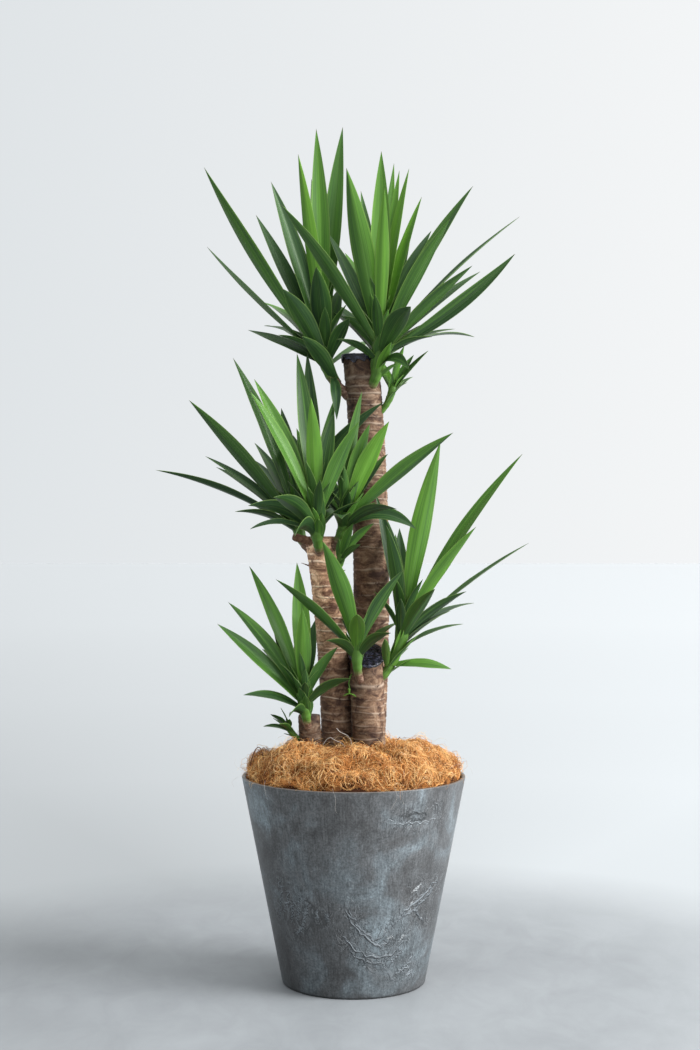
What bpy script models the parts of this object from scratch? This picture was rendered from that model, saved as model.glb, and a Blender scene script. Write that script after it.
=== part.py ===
"""Potted yucca: four ringed canes with leafy heads, in a tapered pot topped with coconut fibre.

Metres, +Z up. The origin is the centre of the pot's flat underside, and the plant's front faces -Y.
"""

import math
import random
from collections import namedtuple

import bmesh
import bpy
from mathutils import Vector, noise
from mathutils.bvhtree import BVHTree

MM = 0.001
GAP = 0.3 * MM
FILLING_ROOM = 1.2 * GAP
SEAT_ROOM = 1.4 * GAP

# Pot: a straight tapered shell
POT_HEIGHT = 0.340
POT_FOOT_RADIUS = 0.118
POT_RIM_RADIUS = 0.185
POT_WALL = 0.006
POT_FLOOR = 0.012
POT_SIDES = 40

# Soil and the coconut fibre on it
SOIL_TOP = 0.315
MULCH_TOP = 0.386
MULCH_FLAT_RADIUS = 0.105
MULCH_SLOPE = 0.070
MULCH_DROP = 0.042
MULCH_LUMP = 0.018
MULCH_SHOULDER = 0.006
TUFTS_PER_METRE = 26
HOLLOWS_PER_METRE = 58
MULCH_CURLS = 30
CURL_SPREAD = 0.150
CURL_RADIUS = 2.0 * MM
CURL_REACH = (0.014, 0.024)
CURL_RISE = (0.007, 0.012)
CURL_SWAY = 0.010
CURL_SUNK = 0.005
GOLDEN_ANGLE = math.radians(137.5)
SEED = 5

# Canes: sides of the section, spacing of the leaf scars and how far they stand out
CANE_SIDES = 10
CANE_FOOT = 0.200
SCAR_SPACING = 0.019
SCAR_GROOVE = 1.3 * MM
SCAR_BULGE = 0.9 * MM
SCAR_TILT = 3.2 * MM
CANE_OVAL = 0.03
SEALANT_THICK = 1.3 * MM
SEALANT_EDGE = 0.004

# Leaves: a sword blade with a shallow channel, thickest along its midrib
EYE = Vector((-0.006, -2.775, 0.754))
RIB_THICK = 2.0 * MM
CHANNEL = 0.15
NECK = 0.46
WIDEST = 0.54
LEAF_STATIONS = (0.0, 0.20, 0.46, 0.72, 1.0)
BOWED_STATIONS = (0.0, 0.18, 0.38, 0.60, 0.81, 1.0)
BOWED = 0.008
CLEARANCE = 0.9 * MM

# The stem swells towards its crown, where the leaf bases clasp it
STEM_SWELL = 0.35
ROOT_NARROW = 0.5
LOWEST_ROOT = 0.56
ROOT_RANGE = 0.42

# Fill leaves behind each head: degrees of swing and climb, and width in millimetres
FILL_SWING = 70
FILL_TREMBLE = 6
FILL_CLIMB = (2, 74)
FILL_WIDTH = 12
FILL_WIDTH_PER_REACH = 0.055

Cane = namedtuple("Cane", "name foot middle top radius cut_rise")
Leaf = namedtuple("Leaf", "seen_x seen_z depth width bow facing root", defaults=(None,))
Sprig = namedtuple("Sprig", "tip width bow facing root")
Head = namedtuple("Head", "name cane start bend crown stem_radius fill reach leaves")

# A cane's axis bends from its foot in the soil, towards its middle point, to its sawn top
CANES = (
    Cane("cane_tall", (0.008, 0.064, CANE_FOOT), (0.050, 0.060), (0.012, 0.060, 1.040), 0.0295, 0.0),
    Cane("cane_middle", (-0.032, 0.014, CANE_FOOT), (-0.017, 0.014), (-0.056, 0.012, 0.735), 0.0258, 0.0),
    Cane("cane_short", (0.027, -0.012, CANE_FOOT), (0.028, -0.012), (0.022, -0.010, 0.524), 0.0272, 0.030),
    Cane("cane_low", (-0.066, -0.020, CANE_FOOT), (-0.069, -0.020), (-0.073, -0.022, 0.442), 0.0180, 0.0),
)

# Leaves in millimetres. seen_x and seen_z place the tip as seen from EYE against the plane through
# the pot's axis, and depth moves it along that line of sight (plus is away from the front). bow lifts
# the middle of the blade off the line from root to tip, and facing turns the blade to the front
# (0 lies as it grew, 1 is flat on to the eye). root is how far up its stem it grows, from 0 to 1:
# without one, the steeper leaves grow higher.
HEADS = (
    Head(
        "head_tall_left", "cane_tall",
        (0.006, 0.060, 0.966), (-0.042, 0.056, 0.985), (-0.052, 0.054, 1.052), 9, 8, 300,
        (
            Leaf(-248, 1347, 20, 30, -10, 0.45),
            Leaf(-243, 1215, 120, 22, -8, 0.25),
            Leaf(-175, 1077, 130, 28, 4, 0.35),
            Leaf(-162, 1268, 110, 28, 2, 0.50),
            Leaf(-137, 1323, 60, 34, 4, 0.60),
            Leaf(-92, 1369, 20, 26, 3, 0.30),
            Leaf(-70, 1328, 120, 24, 4, 0.40),
            Leaf(-62, 1411, 70, 32, 3, 0.85),
            Leaf(-18, 1414, 100, 32, 4, 0.80),
            Leaf(-62, 1182, -70, 36, 12, 0.75),
            Leaf(-118, 1146, -80, 32, 8, 0.70),
            Leaf(-6, 1097, -40, 24, 8, 0.50),
            Leaf(-20, 1150, 110, 28, 5, 0.60),
            Leaf(-125, 1069, 60, 22, 8, 0.30),
            Leaf(-86, 1067, -30, 28, 8, 0.55, 0.42),
            Leaf(-28, 928, -10, 18, 22, 0.40),
        ),
    ),
    Head(
        "head_tall_right", "cane_tall",
        (0.016, 0.058, 0.976), (0.046, 0.020, 0.990), (0.044, 0.018, 1.060), 9, 8, 300,
        (
            Leaf(-120, 1285, -70, 27, 6, 0.45),
            Leaf(-12, 1346, -40, 38, 2, 0.90),
            Leaf(-44, 1240, 80, 26, 4, 0.50),
            Leaf(12, 1308, 90, 24, 3, 0.50),
            Leaf(46, 1374, 40, 33, 3, 0.90),
            Leaf(51, 1313, -40, 24, 4, 0.70),
            Leaf(67, 1354, 110, 20, 3, 0.50),
            Leaf(76, 1342, 70, 20, 3, 0.40),
            Leaf(92, 1345, 20, 22, 5, 0.30),
            Leaf(113, 1298, 60, 22, 6, 0.40),
            Leaf(98, 1262, 130, 26, 6, 0.50),
            Leaf(129, 1242, 110, 28, 8, 0.55),
            Leaf(198, 1316, 30, 30, 8, 0.50),
            Leaf(160, 1262, -30, 28, 5, 0.50),
            Leaf(275, 1265, 50, 24, 10, 0.15),
            Leaf(197, 1184, -40, 26, 4, 0.40),
            Leaf(210, 1174, 90, 26, 6, 0.35),
            Leaf(268, 1204, 30, 32, -14, 0.55),
            Leaf(168, 1079, 70, 22, 10, 0.20),
            Leaf(130, 1066, 0, 22, 10, 0.20),
            Leaf(95, 1116, -130, 34, 14, 0.70),
            Leaf(92, 1012, -40, 22, 20, 0.50),
            Leaf(-28, 1062, -30, 20, 8, 0.25),
            Leaf(-16, 1100, 10, 26, 8, 0.50),
            Leaf(4, 1172, 100, 28, 5, 0.60),
        ),
    ),
    Head(
        "shoot_tall", "cane_tall",
        (0.020, 0.058, 0.925), (0.058, 0.050, 0.945), (0.066, 0.050, 0.985), 5, 2, 90,
        (
            Leaf(124, 1043, 50, 14, 3, 0.40),
            Leaf(84, 1051, 40, 14, 2, 0.50),
            Leaf(100, 1036, 90, 13, 3, 0.50),
        ),
    ),
    Head(
        "head_middle_left", "cane_middle",
        (-0.053, 0.006, 0.702), (-0.060, -0.034, 0.714), (-0.062, -0.038, 0.764), 8, 5, 250,
        (
            Leaf(-165, 996, 0, 30, 6, 0.55),
            Leaf(-172, 976, -50, 27, 8, 0.50),
            Leaf(-94, 1039, 10, 29, 5, 0.70),
            Leaf(-77, 1041, 60, 28, 5, 0.60),
            Leaf(-71, 966, -60, 27, 5, 0.70),
            Leaf(-32, 941, -10, 30, 5, 0.80),
            Leaf(-32, 963, 20, 24, 5, 0.50),
            Leaf(9, 926, -60, 28, 5, 0.60),
            Leaf(-175, 786, -110, 30, 16, 0.50),
            Leaf(-172, 747, -60, 22, 16, 0.30),
            Leaf(-133, 800, -150, 30, 14, 0.60),
            Leaf(-98, 735, -140, 28, 20, 0.55),
        ),
    ),
    Head(
        "head_middle_back", "cane_middle",
        (-0.054, 0.018, 0.702), (-0.088, 0.034, 0.712), (-0.096, 0.036, 0.762), 8, 6, 240,
        (
            Leaf(-273, 961, 10, 31, 4, 0.55),
            Leaf(-200, 1031, 50, 29, 8, 0.50),
            Leaf(-120, 948, 90, 28, 6, 0.50),
            Leaf(50, 958, 0, 27, 24, 0.60),
            Leaf(-328, 845, 0, 26, 14, 0.30),
            Leaf(-246, 868, 80, 25, 8, 0.30),
            Leaf(-228, 850, 120, 24, 8, 0.25),
            Leaf(-197, 776, -30, 24, 12, 0.30),
        ),
    ),
    Head(
        "head_middle_right", "cane_middle",
        (-0.050, 0.008, 0.709), (-0.018, -0.010, 0.720), (-0.012, -0.012, 0.776), 8, 4, 190,
        (
            Leaf(165, 907, -50, 29, 6, 0.55),
            Leaf(59, 926, -40, 31, 5, 0.75),
            Leaf(27, 922, -10, 28, 4, 0.60),
            Leaf(14, 976, 0, 24, 4, 0.50),
            Leaf(57, 872, 0, 24, 6, 0.40),
            Leaf(104, 747, -70, 28, 26, 0.50),
            Leaf(-20, 764, -130, 28, 14, 0.60),
            Leaf(72, 780, -100, 24, 14, 0.40),
        ),
    ),
    Head(
        "shoot_middle", "cane_middle",
        (-0.046, 0.006, 0.664), (-0.024, -0.014, 0.672), (-0.020, -0.016, 0.704), 5, 1, 80,
        (
            Leaf(34, 757, -30, 18, 5, 0.50),
            Leaf(-1, 757, -50, 14, 4, 0.50),
            Leaf(12, 722, -60, 14, 5, 0.40),
        ),
    ),
    Head(
        "head_short_right", "cane_short",
        (0.030, -0.010, 0.492), (0.064, -0.014, 0.506), (0.083, -0.014, 0.584), 8, 5, 250,
        (
            Leaf(144, 892, -30, 35, 4, 0.80),
            Leaf(280, 872, 10, 27, 12, 0.45),
            Leaf(203, 751, -50, 27, 8, 0.50),
            Leaf(290, 724, 20, 22, 8, 0.10),
            Leaf(187, 644, -30, 25, 8, 0.40),
            Leaf(182, 590, 30, 20, 8, 0.10),
            Leaf(162, 515, -20, 24, 5, 0.40, 0.50),
            Leaf(135, 648, -90, 26, 8, 0.40),
            Leaf(76, 749, 80, 28, 5, 0.50),
            Leaf(54, 754, -40, 24, 5, 0.60),
            Leaf(36, 807, -20, 22, 5, 0.60),
            Leaf(52, 566, -60, 14, 4, 0.80, 0.40),
        ),
    ),
    Head(
        "head_short_front", "cane_short",
        (0.018, -0.017, 0.491), (0.002, -0.056, 0.503), (0.006, -0.057, 0.560), 7, 3, 150,
        (
            Leaf(-52, 728, -80, 32, 5, 0.80),
            Leaf(-129, 664, -90, 24, 6, 0.45),
            Leaf(6, 606, -150, 26, 10, 0.60),
            Leaf(82, 679, -70, 26, 6, 0.55),
            Leaf(-46, 562, -100, 22, 10, 0.40),
            Leaf(62, 575, -110, 22, 10, 0.40),
        ),
    ),
    Head(
        "head_low", "cane_low",
        (-0.072, -0.024, 0.416), (-0.076, -0.048, 0.424), (-0.082, -0.050, 0.476), 7, 4, 190,
        (
            Leaf(-226, 590, -40, 28, 4, 0.50),
            Leaf(-208, 626, 10, 27, 10, 0.45),
            Leaf(-173, 686, 30, 26, 8, 0.45),
            Leaf(-135, 596, 60, 26, 5, 0.45),
            Leaf(-94, 692, -30, 30, 4, 0.75),
            Leaf(-85, 616, -70, 27, 4, 0.70),
            Leaf(-64, 596, -10, 24, 4, 0.50),
            Leaf(-26, 552, -70, 24, 6, 0.45),
            Leaf(-3, 499, -80, 24, 10, 0.40),
            Leaf(-183, 472, -60, 24, 10, 0.35),
            Leaf(-107, 436, -100, 22, 12, 0.50),
        ),
    ),
    Head(
        "shoot_low", "cane_low",
        (-0.072, -0.020, 0.396), (-0.096, -0.026, 0.402), (-0.106, -0.026, 0.420), 4, 0, 60,
        (
            Leaf(-150, 420, -30, 13, 5, 0.30),
            Leaf(-138, 440, -10, 12, 3, 0.40),
            Leaf(-124, 424, -70, 12, 4, 0.40),
        ),
    ),
)

# Trials for a blade that would cross something, the least change first: a shift in depth in
# millimetres, which hardly shows from the front, then a turn and a lift about its root in degrees
SHIFTS = (0, -15, 15, -30, 30, -45, 45, -60, 60)
TURNS = (0, -4, 4, -8, 8, -12, 12, -16, 16, -20, 20)
LIFTS = (0, -3, 3, -6, 6, -10, 10)
TRIALS = sorted(
    ((shift, turn, lift) for shift in SHIFTS for turn in TURNS for lift in LIFTS),
    key=lambda trial: (abs(trial[0]) / 12 + abs(trial[1]) + abs(trial[2]), trial),
)


def material(name, colour, roughness):
    """A plain Principled surface in the piece's own colour."""
    surface = bpy.data.materials.new(name)
    surface.use_nodes = True
    shader = surface.node_tree.nodes["Principled BSDF"]
    shader.inputs["Base Color"].default_value = (*colour, 1.0)
    shader.inputs["Roughness"].default_value = roughness
    shader.inputs["Metallic"].default_value = 0.0
    surface.diffuse_color = (*colour, 1.0)
    return surface


def add_object(name, points, faces, surface=None, smooth_angle=None):
    """A mesh object with its faces pointing out."""
    mesh = bpy.data.meshes.new(name)
    mesh.from_pydata([tuple(point) for point in points], [], faces)
    shape = bmesh.new()
    shape.from_mesh(mesh)
    bmesh.ops.recalc_face_normals(shape, faces=shape.faces)
    shape.to_mesh(mesh)
    shape.free()
    if smooth_angle is not None:
        mesh.shade_smooth()
        mesh.set_sharp_from_angle(angle=math.radians(smooth_angle))
    if surface is not None:
        mesh.materials.append(surface)
    item = bpy.data.objects.new(name, mesh)
    bpy.context.scene.collection.objects.link(item)
    return item


def rings_to_faces(ring_count, sides, low_pole, high_pole):
    """Quads between rings of points, closed at each end by a fan to a pole."""
    faces = []
    for ring in range(ring_count - 1):
        for side in range(sides):
            beside = (side + 1) % sides
            low = ring * sides
            high = low + sides
            faces.append((low + side, low + beside, high + beside, high + side))
    last = (ring_count - 1) * sides
    for side in range(sides):
        beside = (side + 1) % sides
        faces.append((low_pole, beside, side))
        faces.append((high_pole, last + side, last + beside))
    return faces


def turned(name, profile, sides, surface):
    """A solid turned round the Z axis. The profile's first and last points lie on the axis."""
    points = []
    for radius, height in profile[1:-1]:
        for side in range(sides):
            angle = math.tau * side / sides
            points.append((radius * math.cos(angle), radius * math.sin(angle), height))
    points.append((0.0, 0.0, profile[0][1]))
    points.append((0.0, 0.0, profile[-1][1]))
    faces = rings_to_faces(len(profile) - 2, sides, len(points) - 2, len(points) - 1)
    return add_object(name, points, faces, surface, smooth_angle=35)


def bezier(start, middle, end, t):
    """A point on the curve that leaves start towards middle and arrives at end."""
    start, middle, end = Vector(start), Vector(middle), Vector(end)
    return start.lerp(middle, t).lerp(middle.lerp(end, t), t)


def pot_outer_radius(height):
    return POT_FOOT_RADIUS + (POT_RIM_RADIUS - POT_FOOT_RADIUS) * height / POT_HEIGHT


def make_pot():
    foot_round = 0.003
    rim_round = 0.0015
    rim_inside = POT_RIM_RADIUS - POT_WALL
    floor_inside = pot_outer_radius(POT_FLOOR) - POT_WALL
    profile = (
        (0.0, 0.0),
        (POT_FOOT_RADIUS - foot_round, 0.0),
        (pot_outer_radius(foot_round), foot_round),
        (pot_outer_radius(POT_HEIGHT / 2), POT_HEIGHT / 2),
        (pot_outer_radius(POT_HEIGHT - rim_round), POT_HEIGHT - rim_round),
        (POT_RIM_RADIUS - rim_round, POT_HEIGHT),
        (rim_inside + rim_round, POT_HEIGHT),
        (rim_inside, POT_HEIGHT - rim_round),
        (floor_inside, POT_FLOOR),
        (0.0, POT_FLOOR),
    )
    slate = material("slate_resin", (0.115, 0.130, 0.145), 0.55)
    return turned("pot", profile, POT_SIDES, slate)


def filling_radius(height):
    """What fills the pot stays a gap away from its inner wall."""
    return pot_outer_radius(height) - POT_WALL - FILLING_ROOM


def cane_axis(cane, height):
    """The point of the cane's axis at a height."""
    t = (height - cane.foot[2]) / (cane.top[2] - cane.foot[2])
    middle = (*cane.middle, (cane.foot[2] + cane.top[2]) / 2)
    return bezier(cane.foot, middle, cane.top, t)


def cut_height(cane, y):
    """The sawn top is a plane that rises towards the back by cut_rise across the cane."""
    return cane.top[2] + cane.cut_rise * (1 + (y - cane.top[1]) / cane.radius) / 2


def cane_solid(cane, grow=0.0, surface=None, name=None):
    """A cane with ring scars from the soil up, and a plain foot below. grow makes it fatter."""
    rule = random.Random(f"{SEED}{cane.name}")
    phase = rule.uniform(0, math.tau)
    rows = [(cane.foot[2] - grow, 0.0, 0.0), (SOIL_TOP + 0.010, 0.0, 0.0)]
    height = SOIL_TOP + 0.022
    while height < cane.top[2] - 1.1 * SCAR_SPACING:
        tilt = rule.uniform(-SCAR_TILT, SCAR_TILT)
        step = SCAR_SPACING * rule.uniform(0.75, 1.25)
        rows.append((height, -SCAR_GROOVE, tilt))
        rows.append((height + 0.5 * step, SCAR_BULGE, tilt))
        height += step
    rows.append((cane.top[2] + grow, 0.0, 0.0))
    points = []
    for row, (height, relief, tilt) in enumerate(rows):
        centre = cane_axis(cane, height)
        for side in range(CANE_SIDES):
            angle = math.tau * side / CANE_SIDES
            oval = CANE_OVAL * math.sin(2 * angle + phase) if row > 1 else 0.0
            radius = cane.radius * (1 + oval) + relief + grow
            x = centre.x + radius * math.cos(angle)
            y = centre.y + radius * math.sin(angle)
            z = height + tilt * math.cos(angle - phase * row)
            if row == len(rows) - 1:
                z = cut_height(cane, y) + grow
            points.append((x, y, z))
    top = cane_axis(cane, cane.top[2])
    points.append((cane.foot[0], cane.foot[1], cane.foot[2] - grow))
    points.append((top.x, top.y, cane.top[2] + grow + cane.cut_rise / 2))
    faces = rings_to_faces(len(rows), CANE_SIDES, len(points) - 2, len(points) - 1)
    return add_object(name or cane.name, points, faces, surface, smooth_angle=40)


def cane_hole(cane, low, high, room):
    """A plain cutter round a cane between two heights."""
    points = []
    for height in (low, high):
        centre = cane_axis(cane, height)
        for side in range(CANE_SIDES):
            angle = math.tau * side / CANE_SIDES
            radius = cane.radius + room
            points.append((centre.x + radius * math.cos(angle), centre.y + radius * math.sin(angle), height))
    for height in (low, high):
        centre = cane_axis(cane, height)
        points.append((centre.x, centre.y, height))
    faces = rings_to_faces(2, CANE_SIDES, len(points) - 2, len(points) - 1)
    return add_object("hole_" + cane.name, points, faces)


def boolean(item, kind, tools, solver="EXACT"):
    """Joins or cuts an item by tools in one step, applies it and removes the tools."""
    group = bpy.data.collections.new("tools")
    bpy.context.scene.collection.children.link(group)
    for tool in tools:
        group.objects.link(tool)
        tool.hide_render = True
        tool.display_type = "WIRE"
    step = item.modifiers.new(kind, "BOOLEAN")
    step.operation = kind
    step.operand_type = "COLLECTION"
    step.collection = group
    step.solver = solver
    result = bpy.data.meshes.new_from_object(item.evaluated_get(bpy.context.evaluated_depsgraph_get()))
    item.modifiers.clear()
    item.data = result
    for tool in tools:
        bpy.data.objects.remove(tool)
    bpy.data.collections.remove(group)


def keep_main_body(item):
    """Drops loose scraps and fills sealed hollows: only the largest closed surface stays."""
    shape = bmesh.new()
    shape.from_mesh(item.data)
    bmesh.ops.triangulate(shape, faces=shape.faces)
    bmesh.ops.dissolve_degenerate(shape, dist=0.004 * MM, edges=shape.edges)
    bmesh.ops.triangulate(shape, faces=shape.faces)
    unseen = set(shape.verts)
    bodies = []
    while unseen:
        start = unseen.pop()
        body = {start}
        frontier = [start]
        while frontier:
            point = frontier.pop()
            for edge in point.link_edges:
                other = edge.other_vert(point)
                if other in unseen:
                    unseen.remove(other)
                    body.add(other)
                    frontier.append(other)
        bodies.append(body)
    bodies.sort(key=len)
    loose = [point for body in bodies[:-1] for point in body]
    bmesh.ops.delete(shape, geom=loose, context="VERTS")
    shape.to_mesh(item.data)
    shape.free()


def make_soil():
    floor = POT_FLOOR + GAP
    profile = (
        (0.0, floor),
        (filling_radius(POT_FLOOR), floor),
        (filling_radius(SOIL_TOP), SOIL_TOP),
        (0.0, SOIL_TOP),
    )
    earth = material("potting_soil", (0.035, 0.024, 0.016), 0.95)
    soil = turned("soil", profile, POT_SIDES, earth)
    holes = [cane_hole(cane, CANE_FOOT - GAP, SOIL_TOP + 0.02, GAP) for cane in CANES]
    boolean(soil, "DIFFERENCE", holes)
    return soil


def mulch_height(x, y):
    """Top of the fibre mound: a plateau that rounds off to the rim, with tufts and hollows."""
    radius = math.hypot(x, y)
    edge = max(0.0, (radius - MULCH_FLAT_RADIUS) / MULCH_SLOPE)
    mound = MULCH_TOP - MULCH_DROP * edge**2.4
    tufts = noise.noise(Vector((x * TUFTS_PER_METRE, y * TUFTS_PER_METRE, 1.7)))
    hollows = noise.noise(Vector((x * HOLLOWS_PER_METRE, y * HOLLOWS_PER_METRE, 4.1)))
    return mound + MULCH_LUMP * (tufts + 0.6 * hollows)


def make_curl(rule, number):
    """One thick curled strand of fibre, its ends sunk in the mound."""
    sides = 3
    steps = 6
    radius = CURL_SPREAD * math.sqrt((number + 0.5) / MULCH_CURLS)
    angle = number * GOLDEN_ANGLE
    centre = Vector((radius * math.cos(angle), radius * math.sin(angle), 0.0))
    centre.z = mulch_height(centre.x, centre.y)
    turn = rule.uniform(0, math.tau)
    along = Vector((math.cos(turn), math.sin(turn), 0.0))
    across = Vector((-along.y, along.x, 0.0))
    reach = rule.uniform(*CURL_REACH)
    rise = rule.uniform(*CURL_RISE)
    curve = rule.uniform(-CURL_SWAY, CURL_SWAY)
    if radius > MULCH_FLAT_RADIUS:
        reach *= 0.7
    points = []
    for step in range(steps + 1):
        t = step / steps
        spot = centre + along * reach * (2 * t - 1) + across * curve * math.sin(math.pi * t)
        spot.z += rise * math.sin(math.pi * t) - CURL_SUNK
        for side in range(sides):
            spin = math.tau * side / sides + 0.3 * step
            offset = across * math.cos(spin) + Vector((0, 0, math.sin(spin)))
            points.append(spot + offset * CURL_RADIUS)
    faces = []
    for step in range(steps):
        for side in range(sides):
            beside = (side + 1) % sides
            low = step * sides
            faces.append((low + side, low + beside, low + sides + beside, low + sides + side))
    faces.append((0, 1, 2))
    last = steps * sides
    faces.append((last, last + 1, last + 2))
    return add_object("curl", points, faces)


def make_mulch():
    """A lumpy mound of fibre with curled tufts, cut clear of the canes."""
    sides = POT_SIDES
    under = SOIL_TOP + GAP
    shoulder = POT_HEIGHT - MULCH_SHOULDER
    rings = (0.022, 0.046, 0.070, 0.094, 0.116, 0.135, 0.150, 0.162, 0.171)
    points = []
    for ring_height in (under, shoulder):
        ring_radius = filling_radius(ring_height)
        for side in range(sides):
            angle = math.tau * side / sides
            points.append((ring_radius * math.cos(angle), ring_radius * math.sin(angle), ring_height))
    for ring_radius in reversed(rings):
        for side in range(sides):
            angle = math.tau * side / sides
            x = ring_radius * math.cos(angle)
            y = ring_radius * math.sin(angle)
            points.append((x, y, mulch_height(x, y)))
    points.append((0.0, 0.0, under))
    points.append((0.0, 0.0, mulch_height(0.0, 0.0)))
    faces = rings_to_faces(len(rings) + 2, sides, len(points) - 2, len(points) - 1)
    fibre = material("coconut_fibre", (0.46, 0.20, 0.055), 0.95)
    mulch = add_object("coir_mulch", points, faces, fibre)
    rule = random.Random(SEED)
    curls = [make_curl(rule, number) for number in range(MULCH_CURLS)]
    boolean(mulch, "UNION", curls, solver="MANIFOLD")
    room = SCAR_BULGE + CANE_OVAL * CANES[0].radius + 2 * GAP
    holes = [cane_hole(cane, under - 0.01, MULCH_TOP + 0.06, room) for cane in CANES]
    boolean(mulch, "DIFFERENCE", holes, solver="MANIFOLD")
    keep_main_body(mulch)
    return mulch


def make_sealant(cane, name, skirt_low, skirt_wave):
    """Wax over a sawn top: a thin cap whose skirt runs unevenly down the side."""
    inner = SCAR_BULGE + CANE_OVAL * cane.radius + GAP
    outer = inner + SEALANT_THICK
    top = cane.top[2]
    points = []
    rows = (
        ("skirt", inner, 0.0),
        ("top", inner, GAP),
        ("top", inner - SEALANT_EDGE, GAP),
    )
    outer_rows = (
        ("top", outer - SEALANT_EDGE, GAP + SEALANT_THICK),
        ("top", outer, SEALANT_THICK),
        ("skirt", outer, 0.0),
    )
    for kind, room, lift in rows[::-1] + outer_rows[::-1]:
        for side in range(CANE_SIDES):
            angle = math.tau * side / CANE_SIDES
            radius = cane.radius + room
            y = radius * math.sin(angle)
            height = cut_height(cane, cane.top[1] + y) + lift
            if kind == "skirt":
                height -= skirt_low + skirt_wave * math.sin(2 * angle + 0.7) * math.cos(angle)
            centre = cane_axis(cane, min(height, top))
            points.append((centre.x + radius * math.cos(angle), centre.y + y, height))
    centre = cane_axis(cane, top)
    middle = top + cane.cut_rise / 2
    points.append((centre.x, centre.y, middle + GAP))
    points.append((centre.x, centre.y, middle + GAP + SEALANT_THICK))
    faces = rings_to_faces(len(rows) + len(outer_rows), CANE_SIDES, len(points) - 2, len(points) - 1)
    wax = material(name + "_wax", (0.012, 0.013, 0.018), 0.35)
    return add_object(name, points, faces, wax, smooth_angle=40)


def make_stub(cane_cutter):
    """The sawn stub of a side branch at the middle cane's top left."""
    start = Vector((-0.056, 0.000, 0.722))
    end = Vector((-0.100, -0.012, 0.735))
    sides = 8
    radius = 0.0075
    along = (end - start).normalized()
    across = along.cross(Vector((0, 0, 1))).normalized()
    up = across.cross(along)
    points = []
    for share in (0.0, 0.7, 1.0):
        for side in range(sides):
            angle = math.tau * side / sides
            offset = across * math.cos(angle) + up * math.sin(angle)
            points.append(start.lerp(end, share) + offset * radius * (1.0 - 0.15 * share))
    points.append(start)
    points.append(end)
    faces = rings_to_faces(3, sides, len(points) - 2, len(points) - 1)
    bark = material("stub_bark", (0.17, 0.085, 0.05), 0.8)
    stub = add_object("stub_middle", points, faces, bark, smooth_angle=40)
    boolean(stub, "DIFFERENCE", [cane_cutter])
    keep_main_body(stub)
    return stub


def width_share(t):
    """Blade width along its length: a neck above the root, widest past the middle, then a long point."""
    if t == 0.0:
        return NECK * ROOT_NARROW
    if t < WIDEST:
        rise = t / WIDEST
        return NECK + (1.0 - NECK) * rise * rise * (3 - 2 * rise)
    fall = (t - WIDEST) / (1.0 - WIDEST)
    return 1.0 - fall**1.7


def seen_point(seen_x, seen_z, depth):
    """The point on the line of sight through a place in the axis plane, at a depth behind it."""
    place = Vector((seen_x, 0.0, seen_z)) * MM
    return EYE + (place - EYE) * (1.0 + depth * MM / -EYE.y)


class Blade:
    """One leaf: its centre line, and the section that follows it."""

    def __init__(self, root, tip, width, bow, facing):
        self.root = root
        self.chord = tip - root
        self.width = width
        self.bow = bow
        along = self.chord.normalized()
        rise = Vector((0, 0, 1)) - along * along.z
        self.rise = rise.normalized()
        level = Vector((along.x, along.y, 0.0)).normalized()
        across = Vector((-level.y, level.x, 0.0))
        natural = along.cross(across)
        front = Vector((0, -1, 0)) + along * along.y
        front.normalize()
        if natural.dot(front) < -0.05:
            front = -front
        self.normal = natural.lerp(front, facing).normalized()

    def section(self, t, extra):
        """Left edge, rib below, right edge and rib above at a share of the length."""
        centre = self.root + self.chord * t + self.rise * self.bow * 4 * t * (1 - t)
        along = (self.chord + self.rise * self.bow * 4 * (1 - 2 * t)).normalized()
        across = self.normal.cross(along).normalized()
        normal = along.cross(across)
        half = self.width * width_share(t) / 2
        lift = CHANNEL * self.width * width_share(t)
        thick = RIB_THICK * (1.0 - 0.35 * t) / 2 + extra
        side = half + extra * 2
        return (
            centre - across * side + normal * lift,
            centre - normal * thick,
            centre + across * side + normal * lift,
            centre + normal * thick,
        )

    def solid(self, extra=0.0, first=0):
        """Points and triangles of the closed blade, split alike on both faces."""
        points = []
        stations = BOWED_STATIONS if abs(self.bow) > BOWED else LEAF_STATIONS
        for t in stations[first:-1]:
            points.extend(self.section(t, extra))
        tip = len(points)
        points.append(self.root + self.chord * (1.0 + extra / self.chord.length))
        triangles = [(0, 1, 3), (1, 2, 3)]
        for start in range(0, tip - 4, 4):
            left, below, right, above = range(start, start + 4)
            next_left, next_below, next_right, next_above = range(start + 4, start + 8)
            triangles += [(left, next_above, above), (left, next_left, next_above)]
            triangles += [(left, below, next_below), (left, next_below, next_left)]
            triangles += [(right, above, next_above), (right, next_above, next_right)]
            triangles += [(right, next_below, below), (right, next_right, next_below)]
        left, below, right, above = range(tip - 4, tip)
        triangles += [(left, tip, above), (left, below, tip), (right, above, tip), (right, tip, below)]
        return points, triangles


def blade_tree(blade, extra, first):
    points, triangles = blade.solid(extra, first)
    return BVHTree.FromPolygons(points, triangles)


def object_tree(item):
    return BVHTree.FromPolygons(
        [point.co.copy() for point in item.data.vertices],
        [tuple(face.vertices) for face in item.data.polygons],
    )


def stem_point(head, t):
    return bezier(head.start, head.bend, head.crown, t)


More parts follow.
